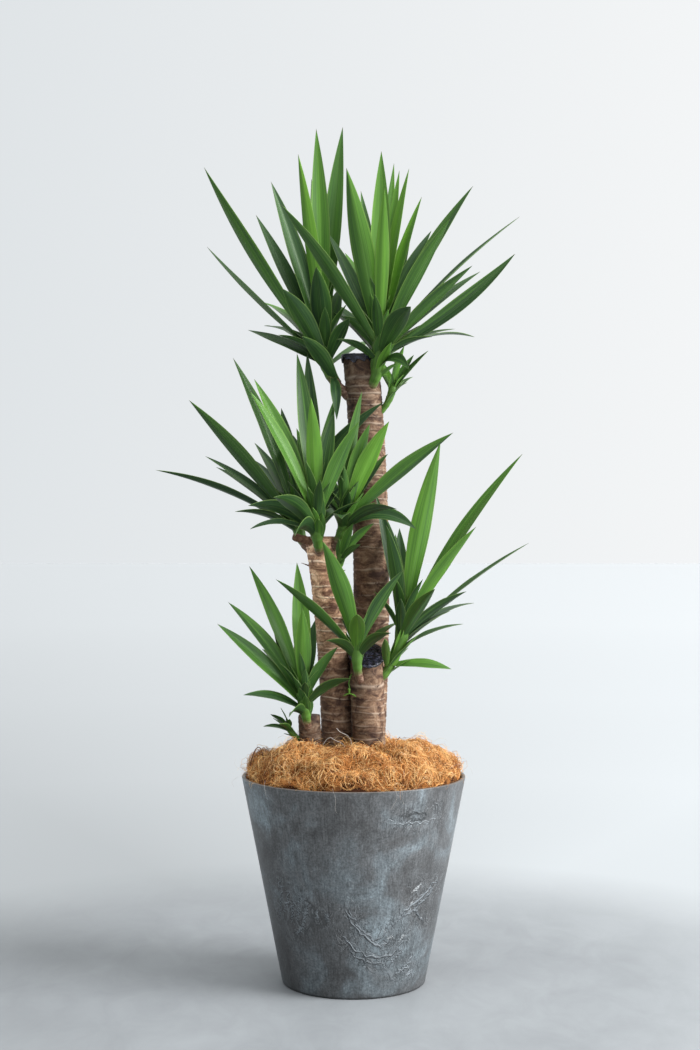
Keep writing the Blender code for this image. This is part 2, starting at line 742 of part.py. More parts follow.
def make_stem(head, surface):
    """The short green stem that the leaves grow from, from inside its cane to its bud."""
    sides = 6
    steps = 5
    points = []
    for step in range(steps + 1):
        t = step / steps
        centre = stem_point(head, t)
        ahead = stem_point(head, min(1.0, t + 0.05)) - stem_point(head, max(0.0, t - 0.05))
        along = ahead.normalized()
        across = along.cross(Vector((0.31, -0.95, 0.05))).normalized()
        up = across.cross(along)
        for side in range(sides):
            angle = math.tau * side / sides
            offset = across * math.cos(angle) + up * math.sin(angle)
            points.append(centre + offset * head.stem_radius * MM * (1.0 + STEM_SWELL * t))
    bud = Vector(head.crown) + Vector((0, 0, 2.0 * head.stem_radius * MM))
    points.append(Vector(head.start))
    points.append(bud)
    faces = rings_to_faces(steps + 1, sides, len(points) - 2, len(points) - 1)
    return add_object(head.name, points, faces, surface)


def blade_to(head, leaf, turn, lift):
    """A blade from the head's stem to a tip, bent by turn and lift in degrees about its root."""
    reach = leaf.tip - Vector(head.crown)
    steepness = math.degrees(math.atan2(reach.z, math.hypot(reach.x, reach.y)))
    share = leaf.root
    if share is None:
        share = LOWEST_ROOT + ROOT_RANGE * min(1.0, max(0.0, (steepness + 40) / 120))
    root = stem_point(head, share)
    chord = leaf.tip - root
    level = math.hypot(chord.x, chord.y)
    compass = math.atan2(chord.y, chord.x) + math.radians(turn)
    climb = math.atan2(chord.z, level) + math.radians(lift)
    flat = chord.length * math.cos(climb)
    bent = Vector((flat * math.cos(compass), flat * math.sin(compass), chord.length * math.sin(climb)))
    return Blade(root, root + bent, leaf.width, leaf.bow, leaf.facing)


class Thicket:
    """What is already standing, so that each new blade can be bent clear of it."""

    def __init__(self):
        self.fixed = {}
        self.stems = {}
        self.blades = []

    def crosses(self, head, blade, own_too):
        full = blade_tree(blade, CLEARANCE, 0)
        outer = blade_tree(blade, CLEARANCE, 1)
        for name, tree in self.fixed.items():
            part = outer if name == head.cane else full
            if part.overlap(tree):
                return True
        for name, tree in self.stems.items():
            if name != head.name and full.overlap(tree):
                return True
        for name, whole, far in self.blades:
            if name != head.name and full.overlap(whole):
                return True
            if name == head.name and own_too and outer.overlap(far):
                return True
        return False

    def place(self, head, leaf_at):
        """The blade with the least change that is clear. It may cross its own head's if none is."""
        for own_too in (True, False):
            for shift, turn, lift in TRIALS:
                blade = blade_to(head, leaf_at(shift), turn, lift)
                if not self.crosses(head, blade, own_too):
                    self.blades.append((head.name, blade_tree(blade, 0.0, 0), blade_tree(blade, 0.0, 1)))
                    return blade
        return None


def shown_leaf(leaf):
    """A leaf that shows from the front, as a function of its shift in depth."""

    def leaf_at(shift):
        tip = seen_point(leaf.seen_x, leaf.seen_z, leaf.depth + shift)
        return Sprig(tip, leaf.width * MM, leaf.bow * MM, leaf.facing, leaf.root)

    return leaf_at


def fill_leaves(head, rule):
    """Leaves that fill the back of a head, turned by the golden angle round its stem."""
    sprigs = []
    for number in range(head.fill):
        share = (number + 0.5) / head.fill
        swing = math.degrees(number * GOLDEN_ANGLE) % FILL_SWING - FILL_SWING / 2
        compass = math.radians(90 + swing + rule.uniform(-FILL_TREMBLE, FILL_TREMBLE))
        climb = math.radians(FILL_CLIMB[0] + (FILL_CLIMB[1] - FILL_CLIMB[0]) * share)
        length = head.reach * MM * rule.uniform(0.80, 0.95) * (1.0 - 0.22 * share)
        outward = Vector((math.cos(compass), math.sin(compass), 0.0))
        tip = Vector(head.crown) + outward * length * math.cos(climb)
        tip.z += length * math.sin(climb)
        width = (FILL_WIDTH + FILL_WIDTH_PER_REACH * head.reach) * MM * rule.uniform(0.9, 1.05)
        sprigs.append(Sprig(tip, width, (0.03 + 0.05 * (1.0 - share)) * length, 0.0, None))
    return sprigs


def make_heads(standing):
    """All leafy heads: first the leaves that show from the front, then the fill behind them."""
    rule = random.Random(SEED + 1)
    greens = {
        "head_tall_left": (0.030, 0.115, 0.030),
        "head_tall_right": (0.034, 0.130, 0.034),
        "head_middle_left": (0.055, 0.170, 0.030),
    }
    thicket = Thicket()
    thicket.fixed = {item.name: object_tree(item) for item in standing}
    stems = {}
    for head in HEADS:
        colour = greens.get(head.name, (0.045, 0.150, 0.032))
        stems[head.name] = make_stem(head, material(head.name + "_green", colour, 0.42))
        thicket.stems[head.name] = object_tree(stems[head.name])
    blades = {head.name: [] for head in HEADS}
    for head in HEADS:
        for leaf in head.leaves:
            blade = thicket.place(head, shown_leaf(leaf))
            if blade is not None:
                blades[head.name].append(blade)
    for head in HEADS:
        for sprig in fill_leaves(head, rule):
            blade = thicket.place(head, lambda shift, sprig=sprig: sprig)
            if blade is not None:
                blades[head.name].append(blade)
    for head in HEADS:
        item = stems[head.name]
        pieces = [add_object("blade", *blade.solid()) for blade in blades[head.name]]
        boolean(item, "UNION", pieces, solver="MANIFOLD")
        cane = next(cane for cane in CANES if cane.name == head.cane)
        seat = cane_solid(cane, grow=SEAT_ROOM, name="seat")
        boolean(item, "DIFFERENCE", [seat], solver="MANIFOLD")
        keep_main_body(item)


def make_canes():
    colours = {
        "cane_tall": (0.245, 0.150, 0.100),
        "cane_middle": (0.225, 0.135, 0.090),
        "cane_short": (0.260, 0.160, 0.110),
        "cane_low": (0.200, 0.120, 0.080),
    }
    canes = []
    for cane in CANES:
        bark = material(cane.name + "_bark", colours[cane.name], 0.8)
        canes.append(cane_solid(cane, surface=bark))
    return canes


def main():
    for item in list(bpy.data.objects):
        bpy.data.objects.remove(item)
    pot = make_pot()
    make_soil()
    mulch = make_mulch()
    canes = make_canes()
    tall = CANES[0]
    middle = CANES[1]
    short = CANES[2]
    wax_tall = make_sealant(tall, "sealant_tall", 0.016, 0.004)
    wax_short = make_sealant(short, "sealant_short", 0.005, 0.001)
    stub = make_stub(cane_solid(middle, grow=SEAT_ROOM, name="seat"))
    make_heads([pot, mulch, wax_tall, wax_short, stub] + canes)


main()
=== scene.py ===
import math
import random
from collections import namedtuple

import bmesh
import bpy
import numpy as np
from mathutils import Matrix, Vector, noise
from mathutils.bvhtree import BVHTree


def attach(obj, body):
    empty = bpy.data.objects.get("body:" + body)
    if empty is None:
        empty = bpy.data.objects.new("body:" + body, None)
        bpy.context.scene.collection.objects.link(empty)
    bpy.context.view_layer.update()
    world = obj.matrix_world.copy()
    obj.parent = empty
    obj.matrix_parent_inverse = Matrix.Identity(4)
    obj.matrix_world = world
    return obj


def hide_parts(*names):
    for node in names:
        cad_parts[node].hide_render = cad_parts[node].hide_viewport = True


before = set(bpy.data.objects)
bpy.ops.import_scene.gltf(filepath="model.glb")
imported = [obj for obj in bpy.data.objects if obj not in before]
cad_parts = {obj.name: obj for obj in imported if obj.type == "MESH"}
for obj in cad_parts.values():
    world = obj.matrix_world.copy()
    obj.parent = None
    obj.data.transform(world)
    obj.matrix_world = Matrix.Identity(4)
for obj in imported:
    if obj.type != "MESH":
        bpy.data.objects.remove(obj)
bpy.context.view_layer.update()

# Pot
# A straight tapered floor pot, cast in one piece from resin and stone powder. Its outer wall is mottled
# charcoal and blue-grey, with crinkled runs that stand a little proud. The rim is thin and worn brown.

MM = 0.001
SEED = 5
POT_HEIGHT = 0.34
FOOT_RADIUS = 0.118
RIM_RADIUS = 0.185
POT_WALL = 0.006
POT_FLOOR = 0.012
POT_SIDES = 192
WALL_ROWS = 60
WALL_WAVE = 0.25 * MM
WAVE_MARGIN = 0.01
RIM_ROUND = 1.6 * MM
FOOT_ROUND = 3.0 * MM


class Nodes:
    """A tree of shader nodes. Each call adds a node and gives back its output."""

    def __init__(self, tree):
        self.tree = tree

    def node(self, kind, inputs, output=0, **settings):
        item = self.tree.nodes.new("ShaderNode" + kind)
        for key, value in settings.items():
            setattr(item, key, value)
        for key, value in inputs.items():
            if isinstance(value, bpy.types.NodeSocket):
                self.tree.links.new(value, item.inputs[key])
            else:
                item.inputs[key].default_value = value
        return item.outputs[output]

    def place(self, *scale):
        """The piece's own place in space, stretched by a scale along each axis."""
        spot = self.node("TexCoord", {}, "Object")
        return self.node("Mapping", {"Vector": spot, "Scale": scale or (1, 1, 1)})

    def attribute(self, name):
        return self.node("Attribute", {}, "Fac", attribute_name=name)

    def grain(self, scale, detail=5.0, rough=0.55, warp=0.0, at=None):
        """Noise over the piece's own place, or over another vector."""
        values = {"Scale": scale, "Detail": detail, "Roughness": rough, "Distortion": warp}
        return self.node("TexNoise", {"Vector": self.place() if at is None else at, **values}, "Fac")

    def plus(self, first, second):
        return self.node("Math", {0: first, 1: second}, operation="ADD")

    def times(self, first, second):
        return self.node("Math", {0: first, 1: second}, operation="MULTIPLY")

    def scaled(self, colour, factor):
        return self.node("VectorMath", {0: colour, "Scale": factor}, operation="SCALE")

    def band(self, value, low, high, start=0.0, end=1.0):
        """Runs from start, where the value is low, to end, where it is high. Low may be the larger."""
        spans = {"Value": value, "From Min": low, "From Max": high, "To Min": start, "To Max": end}
        return self.node("MapRange", spans)

    def ramp(self, value, *stops):
        item = self.tree.nodes.new("ShaderNodeValToRGB")
        self.tree.links.new(value, item.inputs[0])
        line = item.color_ramp.elements
        while len(line) < len(stops):
            line.new(0.5)
        for stop, (position, colour) in zip(line, stops):
            stop.position = position
            stop.color = (*colour, 1.0)
        return item.outputs[0]

    def mix(self, share, first, second, kind="MIX"):
        """The first colour turned towards the second by a share."""
        if isinstance(second, tuple):
            second = (*second, 1.0)
        return self.node("Mix", {0: share, 6: first, 7: second}, 2, data_type="RGBA", blend_type=kind)


class Finish(Nodes):
    """The procedural surface of one kind of piece. Its colour begins as a ramp and is worked over."""

    def __init__(self, name, roughness, specular=0.5):
        self.surface = bpy.data.materials.new(name)
        self.surface.use_nodes = True
        super().__init__(self.surface.node_tree)
        self.shader = self.tree.nodes["Principled BSDF"]
        self.shader.inputs["Roughness"].default_value = roughness
        self.shader.inputs["Specular IOR Level"].default_value = specular

    def begin(self, value, *stops):
        self.colour = self.ramp(value, *stops)

    def stain(self, mask, share, tone):
        """Turns the colour towards a tone by a share, where a mask is 1."""
        self.colour = self.mix(self.times(mask, share), self.colour, tone)

    def mottle(self, share, grain, low, high, dark, light):
        """Darkens and lightens the colour by a grain that runs from low to high."""
        greys = self.ramp(grain, (low, (dark,) * 3), (high, (light,) * 3))
        self.colour = self.mix(share, self.colour, greys, "OVERLAY")

    def shade(self, factor):
        self.colour = self.scaled(self.colour, factor)

    def bump(self, height, distance, strength=1.0):
        values = {"Height": height, "Distance": distance, "Strength": strength}
        self.tree.links.new(self.node("Bump", values), self.shader.inputs["Normal"])

    def paint(self, roughness=None):
        self.tree.links.new(self.colour, self.shader.inputs["Base Color"])
        if roughness is not None:
            self.tree.links.new(roughness, self.shader.inputs["Roughness"])
        return self.surface


def fresh(add, **sizes):
    """A new piece from one of Blender's primitives, with nothing else selected."""
    bpy.ops.object.select_all(action="DESELECT")
    add(**sizes)
    return bpy.context.object


def choose(piece, kind, test):
    """In edit mode, selects only the faces or edges that pass a test."""
    bpy.ops.mesh.select_mode(type=kind)
    bpy.ops.mesh.select_all(action="DESELECT")
    shape = bmesh.from_edit_mesh(piece.data)
    for item in shape.faces if kind == "FACE" else shape.edges:
        if test(item):
            item.select_set(True)
    bmesh.update_edit_mesh(piece.data)


def note(piece, **notes):
    """Keeps numbers that the finish reads: for each name one value, or one for each point of the mesh."""
    for name, values in notes.items():
        kept = piece.data.attributes.new(name, "FLOAT", "POINT").data
        kept.foreach_set("value", np.broadcast_to(values, len(kept)).astype(np.float32))


def finished(piece, name, surface, slot, *nodes, angle=40):
    """Names a piece, gives it its finish, and lets it stand for its CAD nodes."""
    piece.name = name
    piece.data.name = name
    piece.data.materials.clear()
    piece.data.materials.append(surface)
    bpy.ops.object.select_all(action="DESELECT")
    piece.select_set(True)
    bpy.context.view_layer.objects.active = piece
    bpy.ops.object.shade_smooth_by_angle(angle=math.radians(angle))
    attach(piece, "root")
    if nodes:
        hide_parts(*nodes)


def lump(x, y, z):
    """A smooth random value between -1 and 1 that is always the same at a place."""
    return noise.noise(Vector((x, y, z)))


def hump(value, middle, spread):
    """1 where the value is at the middle, and falling to 0 over a spread on both sides."""
    return math.exp(-(((value - middle) / spread) ** 2))


def clamped(value):
    return min(1.0, max(0.0, value))


def pot_radius(height):
    return FOOT_RADIUS + (RIM_RADIUS - FOOT_RADIUS) * height / POT_HEIGHT


def is_level(edge, height):
    return all(abs(point.co.z - height) < 1e-5 for point in edge.verts)


def is_rim(edge):
    """A rim edge lies level at the top, with both ends equally far out."""
    low, high = (point.co for point in edge.verts)
    return is_level(edge, POT_HEIGHT) and abs(low.to_2d().length - high.to_2d().length) < 1e-5


def is_outer_slope(edge):
    low, high = (point.co for point in edge.verts)
    return abs(low.z - high.z) > 0.2 and low.to_2d().length > FOOT_RADIUS - POT_WALL / 3


pot = fresh(
    bpy.ops.mesh.primitive_cone_add,
    vertices=POT_SIDES,
    radius1=FOOT_RADIUS,
    radius2=RIM_RADIUS,
    depth=POT_HEIGHT,
    location=(0.0, 0.0, POT_HEIGHT / 2),
)
bpy.ops.object.transform_apply(location=True, rotation=False, scale=False)
bpy.ops.object.mode_set(mode="EDIT")
choose(pot, "FACE", lambda face: face.normal.z > 0.9)
bpy.ops.mesh.inset(thickness=POT_WALL)
bpy.ops.mesh.extrude_region_move(TRANSFORM_OT_translate={"value": (0.0, 0.0, POT_FLOOR - POT_HEIGHT)})
inside_floor = (pot_radius(POT_FLOOR) - POT_WALL) / (RIM_RADIUS - POT_WALL)
bpy.ops.transform.resize(value=(inside_floor, inside_floor, 1.0), center_override=(0.0, 0.0, POT_FLOOR))
choose(pot, "EDGE", is_rim)
bpy.ops.mesh.bevel(offset=RIM_ROUND, segments=4, affect="EDGES")
choose(pot, "EDGE", lambda edge: is_level(edge, 0.0))
bpy.ops.mesh.bevel(offset=FOOT_ROUND, segments=4, affect="EDGES")
choose(pot, "EDGE", is_outer_slope)
bpy.ops.mesh.subdivide(number_cuts=WALL_ROWS)
bpy.ops.object.mode_set(mode="OBJECT")
for point in pot.data.vertices:
    out = point.co.to_2d()
    outside = out.length > pot_radius(point.co.z) - POT_WALL / 2
    if outside and WAVE_MARGIN < point.co.z < POT_HEIGHT - WAVE_MARGIN:
        wave = lump(point.co.x * 22, point.co.y * 22, point.co.z * 9)
        point.co.x += out.x / out.length * wave * WALL_WAVE
        point.co.y += out.y / out.length * wave * WALL_WAVE


def strands(name, paths, radii, sides=3):
    """Thin round strands along paths. Both arrays run over strands, then over the steps of each."""
    ahead = np.gradient(paths, axis=1)
    ahead /= np.linalg.norm(ahead, axis=2, keepdims=True) + 1e-12
    beside = np.cross(ahead, np.array((0.31, 0.17, 0.94)))
    beside /= np.linalg.norm(beside, axis=2, keepdims=True) + 1e-12
    across = np.cross(ahead, beside)
    turns = math.tau * np.arange(sides) / sides
    ring = np.cos(turns)[:, None] * beside[:, :, None] + np.sin(turns)[:, None] * across[:, :, None]
    points = paths[:, :, None] + radii[:, :, None, None] * ring
    index = np.arange(points.size // 3).reshape(points.shape[:3])
    low, high = index[:, :-1], index[:, 1:]
    walls = np.stack((low, np.roll(low, -1, 2), np.roll(high, -1, 2), high), axis=-1).reshape(-1, 4)
    ends = index[:, 0, ::-1].tolist() + index[:, -1].tolist()
    mesh = bpy.data.meshes.new(name)
    mesh.from_pydata(points.reshape(-1, 3).tolist(), [], walls.tolist() + ends)
    piece = bpy.data.objects.new(name, mesh)
    bpy.context.scene.collection.objects.link(piece)
    return piece


# A run's thickness is in millimetres, and its points are millimetres right of the middle and up from the
# floor, as the front shows them
Run = namedtuple("Run", "thick pale points")
RUNS = (
    Run(1.9, 0.4, ((134, 182), (123, 175), (109, 161), (95, 152), (79, 143), (75, 133), (65, 124))),
    Run(1.6, 0.34, ((128, 168), (112, 156), (98, 143), (84, 136), (70, 133))),
    Run(1.8, 0.38, ((65, 124), (61, 106), (54, 96), (40, 87), (29, 96), (17, 106), (6, 117),
                    (-6, 133), (-11, 147))),
    Run(1.5, 0.3, ((52, 112), (38, 99), (24, 105), (10, 119), (-2, 138), (-8, 156))),
    Run(1.8, 0.36, ((-18, 108), (-4, 94), (12, 78), (24, 71), (42, 69), (59, 71), (72, 85), (82, 96))),
    Run(1.4, 0.3, ((-10, 88), (4, 74), (18, 64), (36, 60), (54, 62))),
    Run(1.6, 0.42, ((95, 69), (86, 50), (75, 43), (65, 39))),
    Run(1.4, 0.45, ((93, 39), (90, 35), (88, 32))),
    Run(1.3, 0.36, ((75, 78), (68, 70), (61, 60))),
    Run(1.5, 0.32, ((106, 163), (98, 140), (104, 128), (112, 120))),
    # The next four short runs are near-white: painted highlights on the crests of crinkles
    Run(0.8, 0.8, ((93, 172), (99, 176), (107, 184))),
    Run(0.8, 0.66, ((88, 145), (92, 154), (95, 149))),
    Run(0.8, 0.74, ((54, 99), (58, 101), (62, 105))),
    Run(0.7, 0.62, ((70, 92), (76, 98), (80, 104))),
    Run(1.3, 0.34, ((-117, 189), (-116, 160), (-119, 129))),
    Run(1.3, 0.36, ((-103, 175), (-105, 155), (-110, 133))),
    Run(1.3, 0.34, ((-94, 164), (-97, 146), (-99, 126))),
    Run(1.3, 0.36, ((-87, 170), (-86, 150), (-90, 124))),
    Run(1.3, 0.4, ((-73, 156), (-75, 140), (-80, 119))),
    Run(1.3, 0.36, ((-80, 115), (-85, 109), (-91, 101))),
    Run(1.3, 0.36, ((-59, 145), (-58, 138), (-57, 131))),
    Run(1.3, 0.32, ((-41, 143), (-42, 136), (-43, 129))),
    Run(1.2, 0.05, ((70, 303), (86, 298), (100, 304), (118, 299), (134, 305))),
    Run(1.0, 0.1, ((88, 294), (104, 291), (120, 296))),
    Run(0.7, 0.55, ((57, 287), (80, 288), (105, 286), (131, 289))),
)
RUN_STEPS = 44
RUN_SWELL = 1.35
RUN_SUNK = 0.38
RUN_SIDES = 5
UNDER_DROP = 1.7
SWIRL_REACH = 15.0


def along_line(points, share):
    """The point at a share of the way along a line of points."""
    spot = share * (len(points) - 1)
    number = min(int(spot), len(points) - 2)
    return Vector(points[number]).lerp(Vector(points[number + 1]), spot - number)


def run_paths(crinkle, offset, drop):
    """The runs' paths on the wall, crinkled by a reach and lowered by a drop, and their radii."""
    paths = np.zeros((len(RUNS), RUN_STEPS, 3))
    radii = np.zeros((len(RUNS), RUN_STEPS))
    for number, run in enumerate(RUNS):
        for step in range(RUN_STEPS):
            share = step / (RUN_STEPS - 1)
            spot = along_line(run.points, share)
            spot.x += crinkle * lump(share * 14, number * 3.1, offset)
            spot.y += crinkle * lump(share * 14, number * 3.1, offset + 9.0)
            height = (spot.y - drop) * MM
            x = spot.x * MM
            swell = 0.60 + 0.55 * lump(share * 22, number * 5.7, offset)
            taper = math.sin(math.pi * min(max(share, 0.04), 0.96)) ** 0.4
            thick = RUN_SWELL * run.thick * MM * swell * taper
            radius = pot_radius(height) - RUN_SUNK * thick
            paths[number, step] = (x, -math.sqrt(max(0.0, radius * radius - x * x)), height)
            radii[number, step] = thick
    return paths, radii


def swirl_share(place):
    """How near a place on the front of the wall is to a run, from 0 to 1."""
    if place.y > 0.0:
        return 0.0
    spot = Vector((place.x, place.z)) / MM
    nearest = 1000.0
    for run in RUNS:
        for low, high in zip(run.points, run.points[1:]):
            start, way = Vector(low), Vector(high) - Vector(low)
            share = clamped((spot - start).dot(way) / way.length_squared)
            nearest = min(nearest, (spot - start - way * share).length)
    return hump(nearest, 0.0, SWIRL_REACH)


note(pot, swirl=[swirl_share(point.co) for point in pot.data.vertices])
# Each run has a thinner neighbour that strays from it, and close below it a dark one that is painted shadow
near, stray, painted_shadow_runs = run_paths(5.0, 0.0, 0.0), run_paths(10.0, 3.0, 0.0), run_paths(5.0, 0.0, UNDER_DROP)
run_lines = np.concatenate((near[0], stray[0], painted_shadow_runs[0]))
run_radii = np.concatenate((near[1], stray[1] * 0.6, painted_shadow_runs[1] * 0.9))
pot_runs = strands("pot_runs", run_lines, run_radii, RUN_SIDES)
# The dark runs below get tone 0: painted shadow
run_tones = [run.pale for run in RUNS] * 2 + [0.0] * len(RUNS)
note(pot_runs, pale=np.repeat(run_tones, RUN_STEPS * RUN_SIDES))

slate = Finish("slate_resin", 0.5)
# The streaks run up the slope, so the place is first brought to one radius all the way up
flat = slate.node("VectorMath", {0: slate.place(1, 1, 0)}, operation="NORMALIZE")
height_only = slate.place(0, 0, 1)
wrapped = slate.node("VectorMath", {0: flat, 1: (0.15,) * 3, 2: height_only}, operation="MULTIPLY_ADD")
streaked = slate.node("Mapping", {"Vector": wrapped, "Scale": (1.0, 1.0, 0.09)})
clouds = slate.grain(9.0, 6.0, 0.6, 0.6)
streaks = slate.grain(420.0, 4.0, 0.6, at=streaked)
specks = slate.grain(320.0, 3.0, 0.65)
blotches = slate.grain(46.0, 6.0, 0.65, 1.0)
folds = slate.grain(34.0, 4.0, 0.6, 2.4, slate.place(1, 1, 0.5))
slate.begin(clouds, (0.36, (0.065, 0.065, 0.066)), (0.49, (0.098, 0.103, 0.107)),
            (0.58, (0.136, 0.157, 0.169)), (0.7, (0.214, 0.26, 0.284)))
slate.mottle(0.55, blotches, 0.32, 0.7, 0.26, 0.74)
slate.mottle(0.54, streaks, 0.3, 0.7, 0.24, 0.76)
slate.mottle(0.66, specks, 0.3, 0.72, 0.18, 0.82)
# Fold lines of the resin crowd round the runs: a dark crease of painted shade, and beside it a pale crest of
# painted highlight
swirl = slate.attribute("swirl")
crease_and_painted_shade = slate.times(slate.band(folds, 0.435, 0.465), slate.band(folds, 0.495, 0.465))
crest_and_painted_highlight = slate.times(slate.band(folds, 0.495, 0.52), slate.band(folds, 0.545, 0.52))
crease_and_painted_shade = slate.times(crease_and_painted_shade, swirl)
crest_and_painted_highlight = slate.times(crest_and_painted_highlight, swirl)
slate.stain(crease_and_painted_shade, 0.8, (0.03, 0.034, 0.037))
slate.stain(crest_and_painted_highlight, 0.55, (0.3, 0.33, 0.35))
wall_height = slate.node("SeparateXYZ", {0: slate.place()}, 2)
# The rim is worn brown, and the dark band at the foot is painted shadow where the pot meets the floor
slate.stain(slate.band(wall_height, POT_HEIGHT - 1.1 * MM, POT_HEIGHT - 0.3 * MM), 0.8, (0.125, 0.102, 0.082))
slate.stain(slate.band(wall_height, 5.0 * MM, 1.0 * MM), 0.85, (0.022, 0.022, 0.022))
# Painted shade and light: the wall is darker towards the foot and paler towards the rim
slate.shade(slate.band(wall_height, 0.0, POT_HEIGHT, 0.72, 1.14))
relief = slate.plus(slate.times(streaks, 0.35), slate.times(specks, 0.7))
relief = slate.plus(relief, slate.times(slate.plus(crest_and_painted_highlight, slate.times(crease_and_painted_shade, -1.0)), 1.6))
slate.bump(relief, 0.45 * MM, 0.8)
slate.paint(slate.band(clouds, 0.0, 1.0, 0.38, 0.55))

# The darkest stop paints the shadow runs, and the palest stop the painted highlights
run_finish = Finish("pale_resin_runs", 0.45)
run_finish.begin(
    run_finish.attribute("pale"),
    (0.05, (0.04, 0.045, 0.048)),
    (0.25, (0.115, 0.13, 0.142)),
    (0.45, (0.24, 0.265, 0.285)),
    (1.0, (0.62, 0.64, 0.64)),
)
run_finish.mottle(0.5, run_finish.grain(260.0), 0.3, 0.7, 0.2, 0.7)
run_finish.paint()
finished(pot, "pot_shell", slate.surface, "pot", "pot")
finished(pot_runs, "pot_runs", run_finish.surface, "pot")

# Soil
# Dark potting soil that fills the pot and carries the canes. The fibre covers it, so the CAD solid
# stays as it is and gets a crumbly finish.

earth = Finish("potting_soil", 0.95, 0.2)
crumbs = earth.grain(180.0, 6.0, 0.7)
earth.bump(crumbs, 2.0 * MM)
earth.begin(crumbs, (0.3, (0.012, 0.008, 0.005)), (0.7, (0.055, 0.036, 0.022)))
earth.paint()
for material_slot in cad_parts["soil"].material_slots:
    material_slot.material = earth.surface

# Canes
# Cut lengths of yucca trunk, brown and tan, each with a ring scar where every old leaf grew. They stand
# in the soil, and the tall and the short one have a sawn top under wax. The fibre is laid round them.

Cane = namedtuple("Cane", "name foot middle top radius cut_rise")
CANE_FOOT = 0.2
CANES = (
    Cane("cane_tall", (0.008, 0.064, CANE_FOOT), (0.05, 0.06), (0.012, 0.06, 1.04), 0.0295, 0.0),
    Cane("cane_middle", (-0.032, 0.014, CANE_FOOT), (-0.017, 0.014), (-0.056, 0.012, 0.735), 0.0258, 0.0),
    Cane("cane_short", (0.027, -0.012, CANE_FOOT), (0.028, -0.012), (0.022, -0.01, 0.524), 0.0272, 0.03),
    Cane("cane_low", (-0.066, -0.02, CANE_FOOT), (-0.069, -0.02), (-0.073, -0.022, 0.442), 0.018, 0.0),
)
SOIL_TOP = 0.315
FIRST_SCAR = 0.022
SCAR_SPACING = 0.019
SCAR_GROOVE = 1.3 * MM
SCAR_BULGE = 0.9 * MM
SCAR_TILT = 3.2 * MM
SCAR_STEPS = 16
SCAR_WANDER = 1.9 * MM
# Shares of the way from one scar to the next: its pale lip, then the smaller scar and its lip
LIP_AT = 0.12
SMALL_SCAR_AT = 0.5
SMALL_LIP_AT = 0.61
CANE_OVAL = 0.03
CANE_COLUMNS = 60
# Painted shade on the bark at heights up each cane, in metres, given as how light it is there. It is darker
# low down by the fibre and where the leaves above shade it.
PAINTED_BARK_SHADES = {
    "cane_tall": ((0.4, 0.52), (0.56, 0.54), (0.72, 0.52), (0.82, 0.46), (0.9, 0.5), (1.04, 0.28)),
    "cane_middle": ((0.4, 0.42), (0.5, 0.66), (0.6, 1.6), (0.735, 1.6)),
    "cane_short": ((0.4, 0.4), (0.46, 0.54), (0.53, 0.4)),
    "cane_low": ((0.38, 0.25), (0.44, 0.4)),
}
# Painted light and shade: how much paler each cane's right side is than its middle
SIDE_SHADES = {"cane_tall": 0.2, "cane_middle": -0.26, "cane_short": 0.24, "cane_low": -0.2}
# Where the middle and the short cane all but touch, each swells a little towards the other: at which
# height, over what spread and how far, which is negative to the left
SWELLS = {"cane_middle": (0.53, 0.06, 3.0 * MM), "cane_short": (0.48, 0.04, -2.4 * MM)}


def around(turn):
    """The level direction at a turn from the right."""
    return Vector((math.cos(turn), math.sin(turn), 0.0))


def bezier(start, middle, end, t):
    """A point on the curve that leaves start towards middle and arrives at end."""
    start, middle, end = Vector(start), Vector(middle), Vector(end)
    return start.lerp(middle, t).lerp(middle.lerp(end, t), t)


def cane_axis(cane, height):
    """The point of the cane's axis at a height."""
    t = (height - cane.foot[2]) / (cane.top[2] - cane.foot[2])
    middle = (*cane.middle, (cane.foot[2] + cane.top[2]) / 2)
    return bezier(cane.foot, middle, cane.top, t)


def cut_height(cane, y):
    """The sawn top is a plane that rises towards the back by cut_rise across the cane."""
    return cane.top[2] + cane.cut_rise * (1 + (y - cane.top[1]) / cane.radius) / 2


def places_of(piece):
    """The places of the mesh's points, a row for each."""
    places = np.zeros(len(piece.data.vertices) * 3)
    piece.data.vertices.foreach_get("co", places)
    return places.reshape(-1, 3)


def rolled(columns, rows, *names):
    """A grid rolled into a tube, whose end rows close in a point. Each of a row's points is its place,
    followed by a number for each name."""
    last = len(rows) - 1
    piece = fresh(bpy.ops.mesh.primitive_grid_add, x_subdivisions=columns, y_subdivisions=last, size=1.0)
    spots = places_of(piece)
    column = np.rint((spots[:, 0] + 0.5) * columns).astype(int) % columns
    row = np.rint((spots[:, 1] + 0.5) * last).astype(int)
    grid = np.array(rows)[row, column]
    piece.data.vertices.foreach_set("co", grid[:, :3].ravel())
    note(piece, **{name: grid[:, 3 + number] for number, name in enumerate(names)})
    piece.data.update()
    bpy.ops.object.mode_set(mode="EDIT")
    bpy.ops.mesh.select_all(action="SELECT")
    bpy.ops.mesh.remove_doubles(threshold=1e-6)
    bpy.ops.mesh.normals_make_consistent(inside=False)
    bpy.ops.object.mode_set(mode="OBJECT")
    return piece


def scar_profile(share):
    """How far the bark stands out from one ring to the next, where a smaller scar lies half way."""
    crease = hump(min(share, 1.0 - share), 0.0, 0.055) + 0.5 * hump(share, SMALL_SCAR_AT, 0.05)
    lip = hump(share, LIP_AT, 0.06) + 0.5 * hump(share, SMALL_LIP_AT, 0.05)
    body = SCAR_BULGE * (0.35 + 0.65 * math.sin(math.pi * share))
    return body - (SCAR_GROOVE * 0.8 + SCAR_BULGE * 0.35) * crease + 0.6 * MM * lip


def painted_bark_shade(cane, height, turn):
    """The painted light and shade of the bark at a height and a turn round the cane."""
    tone = float(np.interp(height, *zip(*PAINTED_BARK_SHADES[cane.name])))
    return tone * (1.0 + SIDE_SHADES[cane.name] * math.cos(turn))


